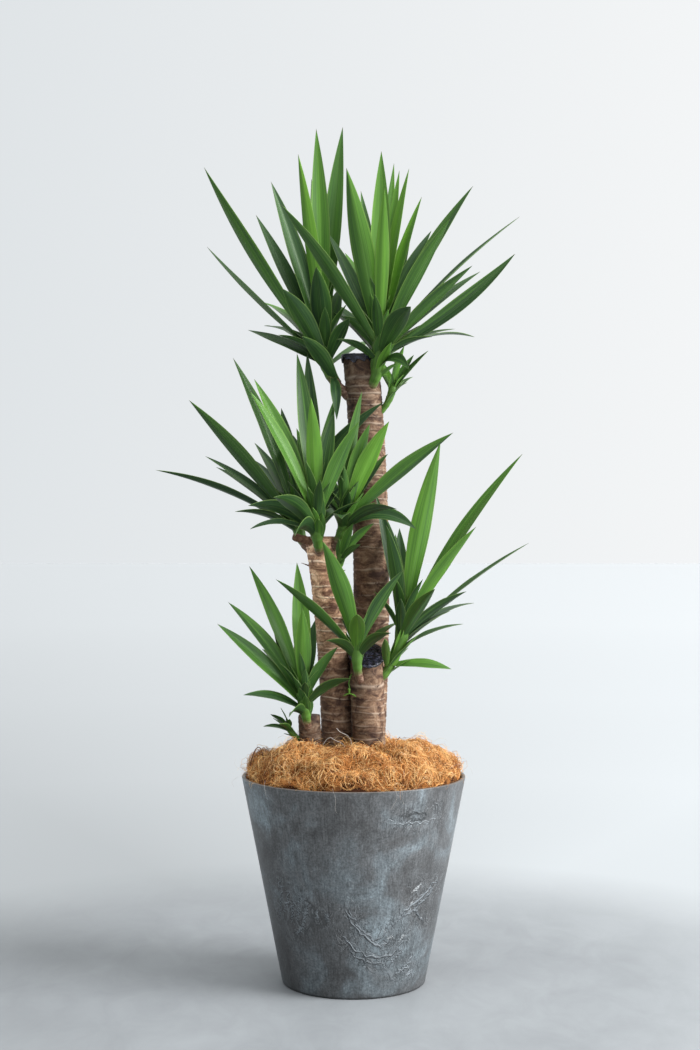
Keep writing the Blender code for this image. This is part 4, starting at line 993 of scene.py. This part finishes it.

# Leaves in millimetres. seen_x and seen_z place the tip as seen from EYE against the plane through
# the pot's axis, and depth moves it along that line of sight. bow lifts the middle of the blade,
# facing turns it flat on to the eye, tone runs from 0, dark blue-green, to 1, bright yellow-green,
# and root is how far up its stem it grows.
# A leaf's tone is partly its own colour and partly painted light and shade, for how lit it stands
HEADS = (
    Head(
        "head_tall_left", "cane_tall",
        (0.006, 0.06, 0.966), (-0.042, 0.056, 0.985), (-0.052, 0.054, 1.052), 9, 8, 300,
        (
            (-248, 1347, 20, 30, -10, 0.45, 0.45), (-243, 1215, 120, 22, -8, 0.25, 0.2),
            (-175, 1077, 130, 28, 4, 0.35, 0.2), (-162, 1268, 110, 28, 2, 0.5, 0.25),
            (-137, 1323, 60, 34, 4, 0.6, 0.24), (-92, 1369, 20, 26, 3, 0.3, 0.7),
            (-70, 1328, 120, 24, 4, 0.4, 0.4), (-62, 1411, 70, 32, 3, 0.85, 0.5),
            (-18, 1414, 100, 32, 4, 0.8, 0.34), (-62, 1182, -70, 36, 12, 0.75, 0.2),
            (-118, 1146, -80, 32, 8, 0.7, 0.2), (-6, 1097, -40, 24, 8, 0.5, 0.25),
            (-20, 1150, 110, 28, 5, 0.6, 0.3), (-125, 1069, 60, 22, 8, 0.3, 0.15),
            (-86, 1067, -30, 28, 8, 0.55, 0.25, 0.42), (-28, 928, -10, 18, 22, 0.4, 0.15),
        ),
    ),
    Head(
        "head_tall_right", "cane_tall",
        (0.016, 0.058, 0.976), (0.046, 0.02, 0.99), (0.044, 0.018, 1.06), 9, 8, 300,
        (
            (-120, 1285, -70, 27, 6, 0.45, 0.32), (-12, 1346, -40, 38, 2, 0.9, 0.5),
            (-44, 1240, 80, 26, 4, 0.5, 0.15), (12, 1308, 90, 24, 3, 0.5, 0.3),
            (46, 1374, 40, 33, 3, 0.9, 0.5), (51, 1313, -40, 24, 4, 0.7, 0.68),
            (67, 1354, 110, 20, 3, 0.5, 0.55), (76, 1342, 70, 20, 3, 0.4, 0.6),
            (92, 1345, 20, 22, 5, 0.3, 0.7), (113, 1298, 60, 22, 6, 0.4, 0.65),
            (98, 1262, 130, 26, 6, 0.5, 0.3), (129, 1242, 110, 28, 8, 0.55, 0.2),
            (198, 1316, 30, 30, 8, 0.5, 0.3), (160, 1262, -30, 28, 5, 0.5, 0.35),
            (275, 1265, 50, 24, 10, 0.15, 0.25), (197, 1184, -40, 26, 4, 0.4, 0.3),
            (210, 1174, 90, 26, 6, 0.35, 0.2), (268, 1204, 30, 32, -14, 0.55, 0.25),
            (168, 1079, 70, 22, 10, 0.2, 0.2), (130, 1066, 0, 22, 10, 0.2, 0.2),
            (95, 1116, -130, 34, 14, 0.7, 0.2), (92, 1012, -40, 22, 20, 0.5, 0.25),
            (-28, 1062, -30, 20, 8, 0.25, 0.2), (-16, 1100, 10, 26, 8, 0.5, 0.2),
            (4, 1172, 100, 28, 5, 0.6, 0.25),
        ),
    ),
    Head(
        "shoot_tall", "cane_tall",
        (0.02, 0.058, 0.925), (0.058, 0.05, 0.945), (0.066, 0.05, 0.985), 5, 2, 90,
        (
            (124, 1043, 50, 14, 3, 0.4, 0.4), (84, 1051, 40, 14, 2, 0.5, 0.5),
            (100, 1036, 90, 13, 3, 0.5, 0.35),
        ),
    ),
    Head(
        "head_middle_left", "cane_middle",
        (-0.053, 0.006, 0.702), (-0.06, -0.034, 0.714), (-0.062, -0.038, 0.764), 8, 5, 250,
        (
            (-165, 996, 0, 30, 6, 0.55, 0.56), (-172, 976, -50, 27, 8, 0.5, 0.62),
            (-94, 1039, 10, 29, 5, 0.7, 0.3), (-77, 1041, 60, 28, 5, 0.6, 0.2),
            (-71, 966, -60, 27, 5, 0.7, 0.76), (-32, 941, -10, 30, 5, 0.8, 0.3),
            (-32, 963, 20, 24, 5, 0.5, 0.35), (9, 926, -60, 28, 5, 0.6, 0.5),
            (-175, 786, -110, 30, 16, 0.5, 0.2), (-172, 747, -60, 22, 16, 0.3, 0.2),
            (-133, 800, -150, 30, 14, 0.6, 0.25), (-98, 735, -140, 28, 20, 0.55, 0.2),
        ),
    ),
    Head(
        "head_middle_back", "cane_middle",
        (-0.054, 0.018, 0.702), (-0.088, 0.034, 0.712), (-0.096, 0.036, 0.762), 8, 6, 240,
        (
            (-273, 961, 10, 31, 4, 0.55, 0.35), (-200, 1031, 50, 29, 8, 0.5, 0.38),
            (-120, 948, 90, 28, 6, 0.5, 0.2), (50, 958, 0, 27, 24, 0.6, 0.2),
            (-328, 845, 0, 26, 14, 0.3, 0.2), (-246, 868, 80, 25, 8, 0.3, 0.25),
            (-228, 850, 120, 24, 8, 0.25, 0.2), (-197, 776, -30, 24, 12, 0.3, 0.2),
        ),
    ),
    Head(
        "head_middle_right", "cane_middle",
        (-0.05, 0.008, 0.709), (-0.018, -0.01, 0.72), (-0.012, -0.012, 0.776), 8, 4, 190,
        (
            (165, 907, -50, 29, 6, 0.55, 0.45), (59, 926, -40, 31, 5, 0.75, 0.76),
            (27, 922, -10, 28, 4, 0.6, 0.5), (14, 976, 0, 24, 4, 0.5, 0.4),
            (57, 872, 0, 24, 6, 0.4, 0.35), (104, 747, -70, 28, 26, 0.5, 0.2),
            (-20, 764, -130, 28, 14, 0.6, 0.3), (72, 780, -100, 24, 14, 0.4, 0.2),
        ),
    ),
    Head(
        "shoot_middle", "cane_middle",
        (-0.046, 0.006, 0.664), (-0.024, -0.014, 0.672), (-0.02, -0.016, 0.704), 5, 1, 80,
        (
            (34, 757, -30, 18, 5, 0.5, 0.5), (-1, 757, -50, 14, 4, 0.5, 0.4),
            (12, 722, -60, 14, 5, 0.4, 0.4),
        ),
    ),
    Head(
        "head_short_right", "cane_short",
        (0.03, -0.01, 0.492), (0.064, -0.014, 0.506), (0.083, -0.014, 0.584), 8, 5, 250,
        (
            (144, 892, -30, 35, 4, 0.8, 0.64), (280, 872, 10, 27, 12, 0.45, 0.55),
            (203, 751, -50, 27, 8, 0.5, 0.6), (290, 724, 20, 22, 8, 0.1, 0.3),
            (187, 644, -30, 25, 8, 0.4, 0.25), (182, 590, 30, 20, 8, 0.1, 0.3),
            (162, 515, -20, 24, 5, 0.4, 0.55, 0.5), (135, 648, -90, 26, 8, 0.4, 0.35),
            (76, 749, 80, 28, 5, 0.5, 0.2), (54, 754, -40, 24, 5, 0.6, 0.35),
            (36, 807, -20, 22, 5, 0.6, 0.25), (52, 566, -60, 14, 4, 0.8, 0.5, 0.4),
        ),
    ),
    Head(
        "head_short_front", "cane_short",
        (0.018, -0.017, 0.491), (0.002, -0.056, 0.503), (0.006, -0.057, 0.56), 7, 3, 150,
        (
            (-52, 728, -80, 32, 5, 0.8, 0.6), (-129, 664, -90, 24, 6, 0.45, 0.35),
            (6, 606, -150, 26, 10, 0.6, 0.6), (82, 679, -70, 26, 6, 0.55, 0.25),
            (-46, 562, -100, 22, 10, 0.4, 0.25), (62, 575, -110, 22, 10, 0.4, 0.2),
        ),
    ),
    Head(
        "head_low", "cane_low",
        (-0.072, -0.024, 0.416), (-0.076, -0.048, 0.424), (-0.082, -0.05, 0.476), 7, 4, 190,
        (
            (-226, 590, -40, 28, 4, 0.5, 0.4), (-208, 626, 10, 27, 10, 0.45, 0.35),
            (-173, 686, 30, 26, 8, 0.45, 0.5), (-135, 596, 60, 26, 5, 0.45, 0.2),
            (-94, 692, -30, 30, 4, 0.75, 0.66), (-85, 616, -70, 27, 4, 0.7, 0.62),
            (-64, 596, -10, 24, 4, 0.5, 0.25), (-26, 552, -70, 24, 6, 0.45, 0.3),
            (-3, 499, -80, 24, 10, 0.4, 0.25), (-183, 472, -60, 24, 10, 0.35, 0.2),
            (-107, 436, -100, 22, 12, 0.5, 0.2),
        ),
    ),
    Head(
        "shoot_low", "cane_low",
        (-0.072, -0.02, 0.396), (-0.096, -0.026, 0.402), (-0.106, -0.026, 0.42), 4, 0, 60,
        (
            (-150, 420, -30, 13, 5, 0.3, 0.3), (-138, 440, -10, 12, 3, 0.4, 0.3),
            (-124, 424, -70, 12, 4, 0.4, 0.3),
        ),
    ),
)

# Trials for a blade that would cross something, the least change first: a shift in depth in
# millimetres, then a turn and a lift about its root in degrees
SHIFTS = (0, -15, 15, -30, 30, -45, 45, -60, 60)
TURNS = (0, -4, 4, -8, 8, -12, 12, -16, 16, -20, 20)
LIFTS = (0, -3, 3, -6, 6, -10, 10)
TRIALS = sorted(
    ((shift, turn, lift) for shift in SHIFTS for turn in TURNS for lift in LIFTS),
    key=lambda trial: (abs(trial[0]) / 12 + abs(trial[1]) + abs(trial[2]), trial),
)


def width_share(t, root=NECK * ROOT_NARROW):
    """Blade width along its length: a neck above the root, widest past the middle, then a long point."""
    if t == 0.0:
        return root
    if t < WIDEST:
        rise = t / WIDEST
        return NECK + (1.0 - NECK) * rise * rise * (3 - 2 * rise)
    fall = (t - WIDEST) / (1.0 - WIDEST)
    return 1.0 - fall**1.7


def seen_point(seen_x, seen_z, depth):
    """The point on the line of sight through a place in the axis plane, at a depth behind it."""
    place = Vector((seen_x, 0.0, seen_z)) * MM
    return EYE + (place - EYE) * (1.0 + depth * MM / -EYE.y)


class Blade:
    """One leaf: its centre line, and the section that follows it."""

    def __init__(self, root, tip, width, bow, facing, tone):
        self.root = root
        self.chord = tip - root
        self.width = width
        self.bow = bow
        self.tone = tone
        along = self.chord.normalized()
        self.rise = (UP - along * along.z).normalized()
        level = Vector((along.x, along.y, 0.0)).normalized()
        natural = along.cross(Vector((-level.y, level.x, 0.0)))
        front = (Vector((0, -1, 0)) + along * along.y).normalized()
        if natural.dot(front) < -0.05:
            front = -front
        self.normal = natural.lerp(front, facing).normalized()

    def line(self, t):
        """The centre, the way across and the upper side's normal at a share of the length."""
        centre = self.root + self.chord * t + self.rise * self.bow * 4 * t * (1 - t)
        along = (self.chord + self.rise * self.bow * 4 * (1 - 2 * t)).normalized()
        across = self.normal.cross(along).normalized()
        return centre, across, along.cross(across)

    def tree(self, extra, first):
        """The plain closed blade that keeps the others clear of it, thicker by extra and from its first
        station on."""
        points = []
        stations = BOWED_STATIONS if abs(self.bow) > BOWED else LEAF_STATIONS
        for t in stations[first:-1]:
            centre, across, normal = self.line(t)
            side = self.width * width_share(t) / 2 + extra * 2
            lift = CHANNEL * self.width * width_share(t)
            thick = RIB_THICK * (1.0 - 0.35 * t) / 2 + extra
            points.append(centre - across * side + normal * lift)
            points.append(centre - normal * thick)
            points.append(centre + across * side + normal * lift)
            points.append(centre + normal * thick)
        tip = len(points)
        points.append(self.root + self.chord * (1.0 + extra / self.chord.length))
        triangles = [(0, 1, 3), (1, 2, 3)]
        for start in range(0, tip, 4):
            for side in (start, start + 2):
                for middle in (start + 1, start + 3):
                    if start + 4 == tip:
                        triangles.append((side, middle, tip))
                    else:
                        triangles += [(side, middle, middle + 4), (side, middle + 4, side + 4)]
        return BVHTree.FromPolygons(points, triangles)


def object_tree(item):
    faces = [tuple(face.vertices) for face in item.data.polygons]
    return BVHTree.FromPolygons([point.co.copy() for point in item.data.vertices], faces)


def stem_point(head, t):
    return bezier(head.start, head.bend, head.crown, t)


def stem_ahead(head, t):
    """The stem's direction at a share of its length."""
    return (stem_point(head, min(1.0, t + 0.05)) - stem_point(head, max(0.0, t - 0.05))).normalized()


def stem_width(head, t):
    """The stem's radius at a share of its length."""
    return head.stem_radius * MM * (1.0 + STEM_SWELL * t)


def plain_stem(head):
    """The closed six-sided stem that other heads' blades stay clear of."""
    sides = 6
    steps = 5
    points = []
    for step in range(steps + 1):
        t = step / steps
        points += ring_round(stem_point(head, t), stem_ahead(head, t), stem_width(head, t), sides)
    points.append(Vector(head.start))
    points.append(Vector(head.crown) + UP * 2.0 * head.stem_radius * MM)
    faces = []
    for side in range(sides):
        beside = (side + 1) % sides
        for low in range(0, steps * sides, sides):
            faces.append((low + side, low + beside, low + sides + beside, low + sides + side))
        faces.append((len(points) - 2, beside, side))
        faces.append((len(points) - 1, steps * sides + side, steps * sides + beside))
    return BVHTree.FromPolygons(points, faces)


def blade_to(head, leaf, turn, lift):
    """A blade from the head's stem to a tip, bent by turn and lift in degrees about its root."""
    reach = leaf.tip - Vector(head.crown)
    steepness = math.degrees(math.atan2(reach.z, math.hypot(reach.x, reach.y)))
    share = leaf.root
    if share is None:
        share = LOWEST_ROOT + ROOT_RANGE * clamped((steepness + 40) / 120)
    root = stem_point(head, share)
    chord = leaf.tip - root
    compass = math.atan2(chord.y, chord.x) + math.radians(turn)
    climb = math.atan2(chord.z, math.hypot(chord.x, chord.y)) + math.radians(lift)
    level = chord.length * math.cos(climb)
    bent = Vector((level * math.cos(compass), level * math.sin(compass), chord.length * math.sin(climb)))
    return Blade(root, root + bent, leaf.width, leaf.bow, leaf.facing, leaf.tone)


class Thicket:
    """What is already standing, so that each new blade can be bent clear of it."""

    def __init__(self, fixed):
        self.fixed = fixed
        self.stems = {head.name: plain_stem(head) for head in HEADS}
        self.blades = []

    def crosses(self, head, blade, own_too):
        full = blade.tree(CLEARANCE, 0)
        outer = blade.tree(CLEARANCE, 1)
        for name, tree in self.fixed.items():
            if (outer if name == head.cane else full).overlap(tree):
                return True
        for name, tree in self.stems.items():
            if name != head.name and full.overlap(tree):
                return True
        for name, whole, far_part in self.blades:
            if name != head.name and full.overlap(whole):
                return True
            if name == head.name and own_too and outer.overlap(far_part):
                return True
        return False

    def place(self, head, leaf_at):
        """The blade with the least change that is clear. It may cross its own head's if none is."""
        for own_too in (True, False):
            for shift, turn, lift in TRIALS:
                blade = blade_to(head, leaf_at(shift), turn, lift)
                if not self.crosses(head, blade, own_too):
                    self.blades.append((head.name, blade.tree(0.0, 0), blade.tree(0.0, 1)))
                    return blade
        return None


def shown_leaf(row):
    """A leaf that shows from the front, as a function of its shift in depth."""
    leaf = Leaf(*row)

    def leaf_at(shift):
        tip = seen_point(leaf.seen_x, leaf.seen_z, leaf.depth + shift)
        return Sprig(tip, leaf.width * MM, leaf.bow * MM, leaf.facing, leaf.tone, leaf.root)

    return leaf_at


def fill_leaves(head, rule, tones):
    """Leaves that fill the back of a head, turned by the golden angle round its stem."""
    sprigs = []
    for number in range(head.fill):
        share = (number + 0.5) / head.fill
        swing = math.degrees(number * GOLDEN_ANGLE) % FILL_SWING - FILL_SWING / 2
        compass = math.radians(90 + swing + rule.uniform(-FILL_TREMBLE, FILL_TREMBLE))
        climb = math.radians(FILL_CLIMB[0] + (FILL_CLIMB[1] - FILL_CLIMB[0]) * share)
        length = head.reach * MM * rule.uniform(0.80, 0.95) * (1.0 - 0.22 * share)
        tip = Vector(head.crown) + around(compass) * length * math.cos(climb)
        tip.z += length * math.sin(climb)
        width = (FILL_WIDTH + FILL_WIDTH_PER_REACH * head.reach) * MM * rule.uniform(0.9, 1.05)
        bow = (0.03 + 0.05 * (1.0 - share)) * length
        sprigs.append(Sprig(tip, width, bow, 0.0, tones.uniform(0.2, 0.6), None))
    return sprigs


standing = ("pot", "coir_mulch", "sealant_tall", "sealant_short", "stub_middle", "cane_tall", "cane_middle",
            "cane_short", "cane_low")
thicket = Thicket({name: object_tree(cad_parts[name]) for name in standing})
blades = {}
for head in HEADS:
    blades[head.name] = [thicket.place(head, shown_leaf(row)) for row in head.leaves]
fill_rule = random.Random(SEED + 1)
fill_tones = random.Random(SEED + 2)
for head in HEADS:
    for sprig in fill_leaves(head, fill_rule, fill_tones):
        blades[head.name].append(thicket.place(head, lambda shift, sprig=sprig: sprig))

# One blank leaf is made by hand: a grid that is x across, y along and z from the lower side to the upper
BLANK_COLUMNS = 8
BLANK_ROWS = 22
blank = fresh(
    bpy.ops.mesh.primitive_grid_add,
    x_subdivisions=BLANK_COLUMNS,
    y_subdivisions=BLANK_ROWS,
    size=1.0,
)
bpy.ops.object.mode_set(mode="EDIT")
bpy.ops.mesh.select_all(action="SELECT")
bpy.ops.mesh.extrude_region_move(TRANSFORM_OT_translate={"value": (0.0, 0.0, 1.0)})
bpy.ops.mesh.select_all(action="SELECT")
bpy.ops.mesh.normals_make_consistent(inside=False)
bpy.ops.object.mode_set(mode="OBJECT")
ACROSS = places_of(blank)[:, 0] * 2.0
ALONG = np.rint((places_of(blank)[:, 1] + 0.5) * BLANK_ROWS).astype(int)
UPPER = places_of(blank)[:, 2]
LEAF_THICK = 1.0 * MM
EDGE_THICK = 0.45 * MM
BASE_SHARE = 0.16
CLASP = 2.4
BIG_REACH = 180
# How far up the stem the brown bark goes, and last how far it does on the others
WOODY_SHARES = {
    "head_tall_left": 0.6,
    "head_tall_right": 0.34,
    "head_middle_left": 0.42,
    "head_middle_back": 0.6,
    "head_middle_right": 0.5,
    "head_short_front": 0.55,
    "head_low": 0.46,
}
GREEN_FOOT = 0.22


def leaf_piece(blade, rule):
    """A copy of the blank leaf, shaped along its blade's line, with a broad base that clasps the stem."""
    leaf = blank.copy()
    leaf.data = blank.data.copy()
    bpy.context.scene.collection.objects.link(leaf)
    sway = rule.uniform(-1.0, 1.0)
    waves = rule.uniform(2.0, 4.0)
    phase = rule.uniform(0.0, math.tau)
    rows = []
    for row in range(BLANK_ROWS + 1):
        t = row / BLANK_ROWS
        t -= 0.06 * math.sin(math.tau * t) / math.tau
        centre, across, normal = blade.line(t)
        base = max(0.0, 1.0 - t / BASE_SHARE)
        width = blade.width * (width_share(t, NECK) + 0.10 * base)
        lift = CHANNEL * width * (1.0 + CLASP * base * base)
        ripple = 0.020 * width * math.sin(waves * math.tau * t + phase) * (1.0 - base) * sway
        rows.append((*centre, *across, *normal, max(width / 2, 0.05 * MM), lift, 1.0 + 0.9 * base, ripple))
    rows = np.array(rows)[ALONG]
    half, lift, swell, ripple = rows[:, 9:].T
    thick = (LEAF_THICK + (EDGE_THICK - LEAF_THICK) * np.abs(ACROSS) ** 2) * swell
    thick *= np.where(ALONG == BLANK_ROWS, 0.3, 1.0)
    raised = lift * np.abs(ACROSS) ** 1.25 + (UPPER - 0.5) * thick + ripple * ACROSS
    spots = rows[:, 0:3] + rows[:, 3:6] * (half * ACROSS)[:, None] + rows[:, 6:9] * raised[:, None]
    leaf.data.vertices.foreach_set("co", spots.ravel())
    # The topmost heads stand in the best light
    tone = blade.tone + 0.07 * clamped((blade.root.z - 0.90) / 0.10)
    note(leaf, tone=tone + rule.uniform(-0.05, 0.05), number=rule.uniform(0.0, 40.0), across=np.abs(ACROSS),
         along=ALONG / BLANK_ROWS, half=ACROSS * rule.uniform(-1.0, 1.0), woody=0.0)
    leaf.data.update()
    return leaf


def heart_leaves(head, rule):
    """Short young leaves round the bud, then the long bracts that clasp the stem down to its foot."""
    grown = []
    inner = 9 if head.reach > BIG_REACH else 3
    for number in range(inner):
        share = (number + 0.5) / inner
        compass = number * GOLDEN_ANGLE + rule.uniform(-0.3, 0.3)
        climb = math.radians(30 + 54 * share)
        length = head.reach * MM * rule.uniform(0.30, 0.44)
        root = stem_point(head, 0.80 + 0.18 * share)
        tip = root + (around(compass) * math.cos(climb) + UP * math.sin(climb)) * length
        width = (5.0 + 0.048 * head.reach) * MM
        # The young leaves low in the heart are darkest: painted shade inside the crown
        grown.append(Blade(root, tip, width, 0.05 * length, 0.1, 0.14 + 0.30 * share))
    bracts = 14 if head.reach > BIG_REACH else 6
    lowest = WOODY_SHARES.get(head.name, GREEN_FOOT)
    for number in range(bracts):
        share = lowest + (0.98 - lowest) * (number + 0.5) / bracts
        radius = stem_width(head, share)
        ahead = stem_ahead(head, share)
        side = ahead.cross(Vector((0.2, -0.9, 0.3))).normalized()
        turn = number * GOLDEN_ANGLE
        out = side * math.cos(turn) + ahead.cross(side) * math.sin(turn)
        root = stem_point(head, share) + out * radius * 0.30
        tip = root + (ahead * rule.uniform(4.6, 8.0) + out * rule.uniform(0.9, 1.8)) * radius
        grown.append(Blade(root, tip, 1.75 * radius, 0.12 * radius, 0.0, 0.30 + 0.24 * rule.random()))
    return [blade for blade in grown if not thicket.crosses(head, blade, False)]


STEM_COLUMNS = 28
STEM_ROWS = 40


def stem_piece(head):
    """The green stem, ringed by the scars of its first leaves and closed by a pointed bud."""
    stations = []
    for step in range(STEM_ROWS + 1):
        t = step / STEM_ROWS
        flare = 1.0 + 0.30 * max(0.0, 1.0 - t / 0.25) - 0.16 * math.sin(math.pi * min(1.0, t / 0.8))
        radius = stem_width(head, t) * flare
        radius += 0.045 * head.stem_radius * MM * math.sin(t * math.tau * 7)
        stations.append((stem_point(head, t), radius))
    start, crown = Vector(head.start), Vector(head.crown)
    for share in (0.3, 0.6, 0.85):
        bud = crown + Vector((0, 0, 2.0 * head.stem_radius * MM)) * share
        stations.append((bud, stem_width(head, 1.0) * (1.0 - share) ** 0.8))
    piece = branch(STEM_COLUMNS, stations)
    whole = crown - start
    ahead = whole.normalized()
    reached = np.array([(point.co - start).dot(ahead) for point in piece.data.vertices])
    woody_share = WOODY_SHARES.get(head.name, GREEN_FOOT)
    woody = np.clip((woody_share - reached / whole.length) / 0.15, 0.0, 1.0)
    note(piece, tone=0.52, number=3.0, across=0.5, along=0.1, half=0.0, woody=woody)
    return piece


green = Finish("leaf_green", 0.42, 0.22)
leaf_u = green.node("SeparateXYZ", {0: green.node("UVMap", {})})
leaf_v = leaf_u.node.outputs[1]
leaf_number = green.attribute("number")


def leaf_place(across, along, shift=0.0):
    """The place on the leaf's own map, stretched across and along it, and other on every leaf."""
    stretched = {0: green.times(leaf_u, across), 1: green.times(leaf_v, along)}
    return green.node("CombineXYZ", {**stretched, 2: green.plus(leaf_number, shift)})


def swayed(tone, values, share):
    """The tone moved up or down by a share of values that run from 0 to 1."""
    return green.plus(tone, green.times(green.plus(values, -0.5), share))


veins = green.grain(1.0, 2.0, 0.5, at=leaf_place(34.0, 1.1))
broad = green.grain(1.0, 3.0, at=leaf_place(5.0, 1.8))
streaks = green.grain(1.0, 3.0, 0.6, at=leaf_place(15.0, 0.8, 50.0))
leaf_tone = swayed(swayed(green.attribute("tone"), broad, 0.5), veins, 0.56)
# One half of each blade is lighter than the other: painted light and shade on the two sides of the fold
leaf_tone = green.plus(leaf_tone, green.times(green.attribute("half"), 0.15))
green.begin(
    leaf_tone,
    (0.0, (0.011, 0.031, 0.013)),
    (0.25, (0.023, 0.061, 0.017)),
    (0.5, (0.053, 0.138, 0.021)),
    (0.75, (0.104, 0.252, 0.027)),
    (1.0, (0.17, 0.38, 0.042)),
)
# Some veins show as long pale streaks, which also carry painted sheen, and the midrib and the very edge as
# thin paler lines. The base is paler too, and the point is dry.
leaf_along = green.attribute("along")
leaf_across = green.attribute("across")
for mask, share, tone in (
    (green.band(streaks, 0.56, 0.72), 0.36, (0.17, 0.3, 0.08)),
    (green.band(leaf_across, 0.07, 0.0), 0.22, (0.18, 0.32, 0.08)),
    (green.band(leaf_across, 0.86, 1.0), 0.46, (0.22, 0.33, 0.08)),
    (green.band(leaf_along, 0.16, 0.0), 0.5, (0.17, 0.3, 0.05)),
    (green.band(leaf_along, 0.975, 1.0), 0.75, (0.1, 0.07, 0.03)),
):
    green.stain(mask, share, tone)
foot_grain = green.grain(150.0, 5.0, 0.7, at=green.place(1, 1, 2))
foot_bark = green.ramp(foot_grain, (0.35, (0.075, 0.036, 0.024)), (0.5, (0.17, 0.1, 0.068)),
                       (0.65, (0.31, 0.205, 0.15)))
green.stain(green.attribute("woody"), 1.0, foot_bark)
green.bump(veins, 0.06 * MM, 0.35)
green.paint(green.band(broad, 0.0, 1.0, 0.32, 0.48))

# A thin green curl with tiny leaves hangs between the middle and the short cane: millimetres right of
# the middle, out towards the front and up from the floor
CURL_POINTS = ((-1, 18, 512), (-6, 31, 505), (-8, 34, 494), (-6, 35, 484), (-7, 36, 478))
CURL_TIPS = ((-17, 38, 474), (4, 38, 473), (-9, 44, 488))
CURL_STEPS = 12


def curl_pieces(rule):
    stations = []
    for step in range(CURL_STEPS + 1):
        spot = along_line(CURL_POINTS, step / CURL_STEPS) * MM
        stations.append((Vector((spot.x, -spot.y, spot.z)), (1.1 - 0.04 * step) * MM))
    stem = branch(8, stations)
    note(stem, tone=0.66, number=7.0, across=0.5, along=0.3, half=0.0, woody=0.0)
    leaflets = []
    for right, ahead, up in CURL_TIPS:
        tip = Vector((right, -ahead, up)) * MM
        leaflets.append(leaf_piece(Blade(stations[-1][0], tip, 3.6 * MM, 0.8 * MM, 0.3, 0.62), rule))
    return [stem] + leaflets


for head in HEADS:
    leaf_rule = random.Random(f"{SEED}{head.name}")
    parts = [stem_piece(head)]
    if head.name == "head_short_front":
        parts += curl_pieces(random.Random(SEED))
    grown = [blade for blade in blades[head.name] if blade is not None]
    parts += [leaf_piece(blade, leaf_rule) for blade in grown]
    parts += [leaf_piece(blade, leaf_rule) for blade in heart_leaves(head, leaf_rule)]
    bpy.ops.object.select_all(action="DESELECT")
    for part in parts:
        part.select_set(True)
    bpy.context.view_layer.objects.active = parts[0]
    bpy.ops.object.join()
    name = head.name.replace("head", "leaves").replace("shoot", "sprout")
    finished(parts[0], name, green.surface, head.name, head.name, angle=60)
bpy.data.objects.remove(blank)

# Floor, light and camera
# A plain pale floor that is greyest round the pot, soft cool studio light from the right, and the camera
# where the photographer's stood.

bpy.context.scene.view_settings.view_transform = "Standard"
FLOOR_SIZE = 60.0
floor = fresh(bpy.ops.mesh.primitive_plane_add, size=FLOOR_SIZE, location=(0.0, 0.0, 0.0))
floor.name = "floor"
concrete = Finish("pale_floor", 0.6, 0.3)
floor_place = concrete.place()
floor_streaks = concrete.grain(14.0, 6.0, 0.65, 0.8, concrete.place(1, 0.5, 1))
concrete.begin(concrete.grain(2.5), (0.35, (0.275, 0.288, 0.3)), (0.65, (0.325, 0.34, 0.352)))
concrete.mottle(0.16, floor_streaks, 0.3, 0.7, 0.3, 0.72)
floor_reach = concrete.node("VectorMath", {0: floor_place}, "Value", operation="LENGTH")
floor_pale = concrete.ramp(
    concrete.band(floor_reach, 0.0, 10.0),
    (0.05, (0.345, 0.36, 0.37)),
    (0.08, (0.412, 0.428, 0.436)),
    (0.165, (0.445, 0.461, 0.469)),
    (0.23, (0.48, 0.496, 0.504)),
    (0.46, (0.53, 0.546, 0.554)),
    (1.0, (0.572, 0.588, 0.596)),
)
# Painted light: it is paler towards the window
floor_side = concrete.node("SeparateXYZ", {0: floor_place})
concrete.shade(concrete.band(floor_side, -0.65, 0.0, 0.8, 1.0))
far_side = concrete.node("Math", {0: floor_side, 1: floor_reach}, operation="DIVIDE")
floor_pale = concrete.scaled(floor_pale, concrete.band(far_side, -0.45, 0.45, 0.78, 1.2))
concrete.stain(concrete.band(floor_reach, 0.45, 1.0), 1.0, floor_pale)
floor.data.materials.append(concrete.paint())

# The sky is brightest on the window's side
world = bpy.data.worlds.new("studio")
bpy.context.scene.world = world
world.use_nodes = True
sky = Nodes(world.node_tree)
sky_side = sky.node("SeparateXYZ", {0: sky.node("TexCoord", {}, "Generated")})
sky_share = sky.plus(sky.times(sky_side, 0.5), 0.5)
sky_colour = sky.ramp(sky_share, (0.12, (0.6, 0.64, 0.668)), (0.3, (0.7, 0.745, 0.775)),
                      (0.62, (0.965, 0.98, 0.988)), (0.8, (1.07, 1.08, 1.085)))
background = world.node_tree.nodes["Background"].inputs
world.node_tree.links.new(sky_colour, background["Color"])
background["Strength"].default_value = 0.95


def light(name, kind, place, aim, power, colour):
    """A lamp at a place, turned towards its aim."""
    lamp = bpy.data.lights.new(name, kind)
    lamp.energy = power
    lamp.color = colour
    item = bpy.data.objects.new(name, lamp)
    item.location = place
    item.rotation_euler = (Vector(aim) - Vector(place)).to_track_quat("-Z", "Y").to_euler()
    bpy.context.scene.collection.objects.link(item)
    return lamp


# The light of a wide window comes in from the right and from a little above
window = light("window_side", "SUN", (5.0, -1.7, 3.2), (0.0, 0.0, 0.75), 4.8, (0.97, 0.985, 1.0))
window.angle = math.radians(34)
ceiling = light("ceiling", "AREA", (0.3, -0.5, 3.2), (0.0, 0.0, 0.8), 30.0, (0.95, 0.98, 1.0))
ceiling.size = 2.0

camera_lens = bpy.data.cameras.new("camera")
camera_lens.sensor_width = 36.0
camera_lens.lens = 57.4
camera = bpy.data.objects.new("camera", camera_lens)
camera.location = EYE
camera.rotation_euler = (math.radians(90.0), 0.0, 0.0)
bpy.context.scene.collection.objects.link(camera)
bpy.context.scene.camera = camera
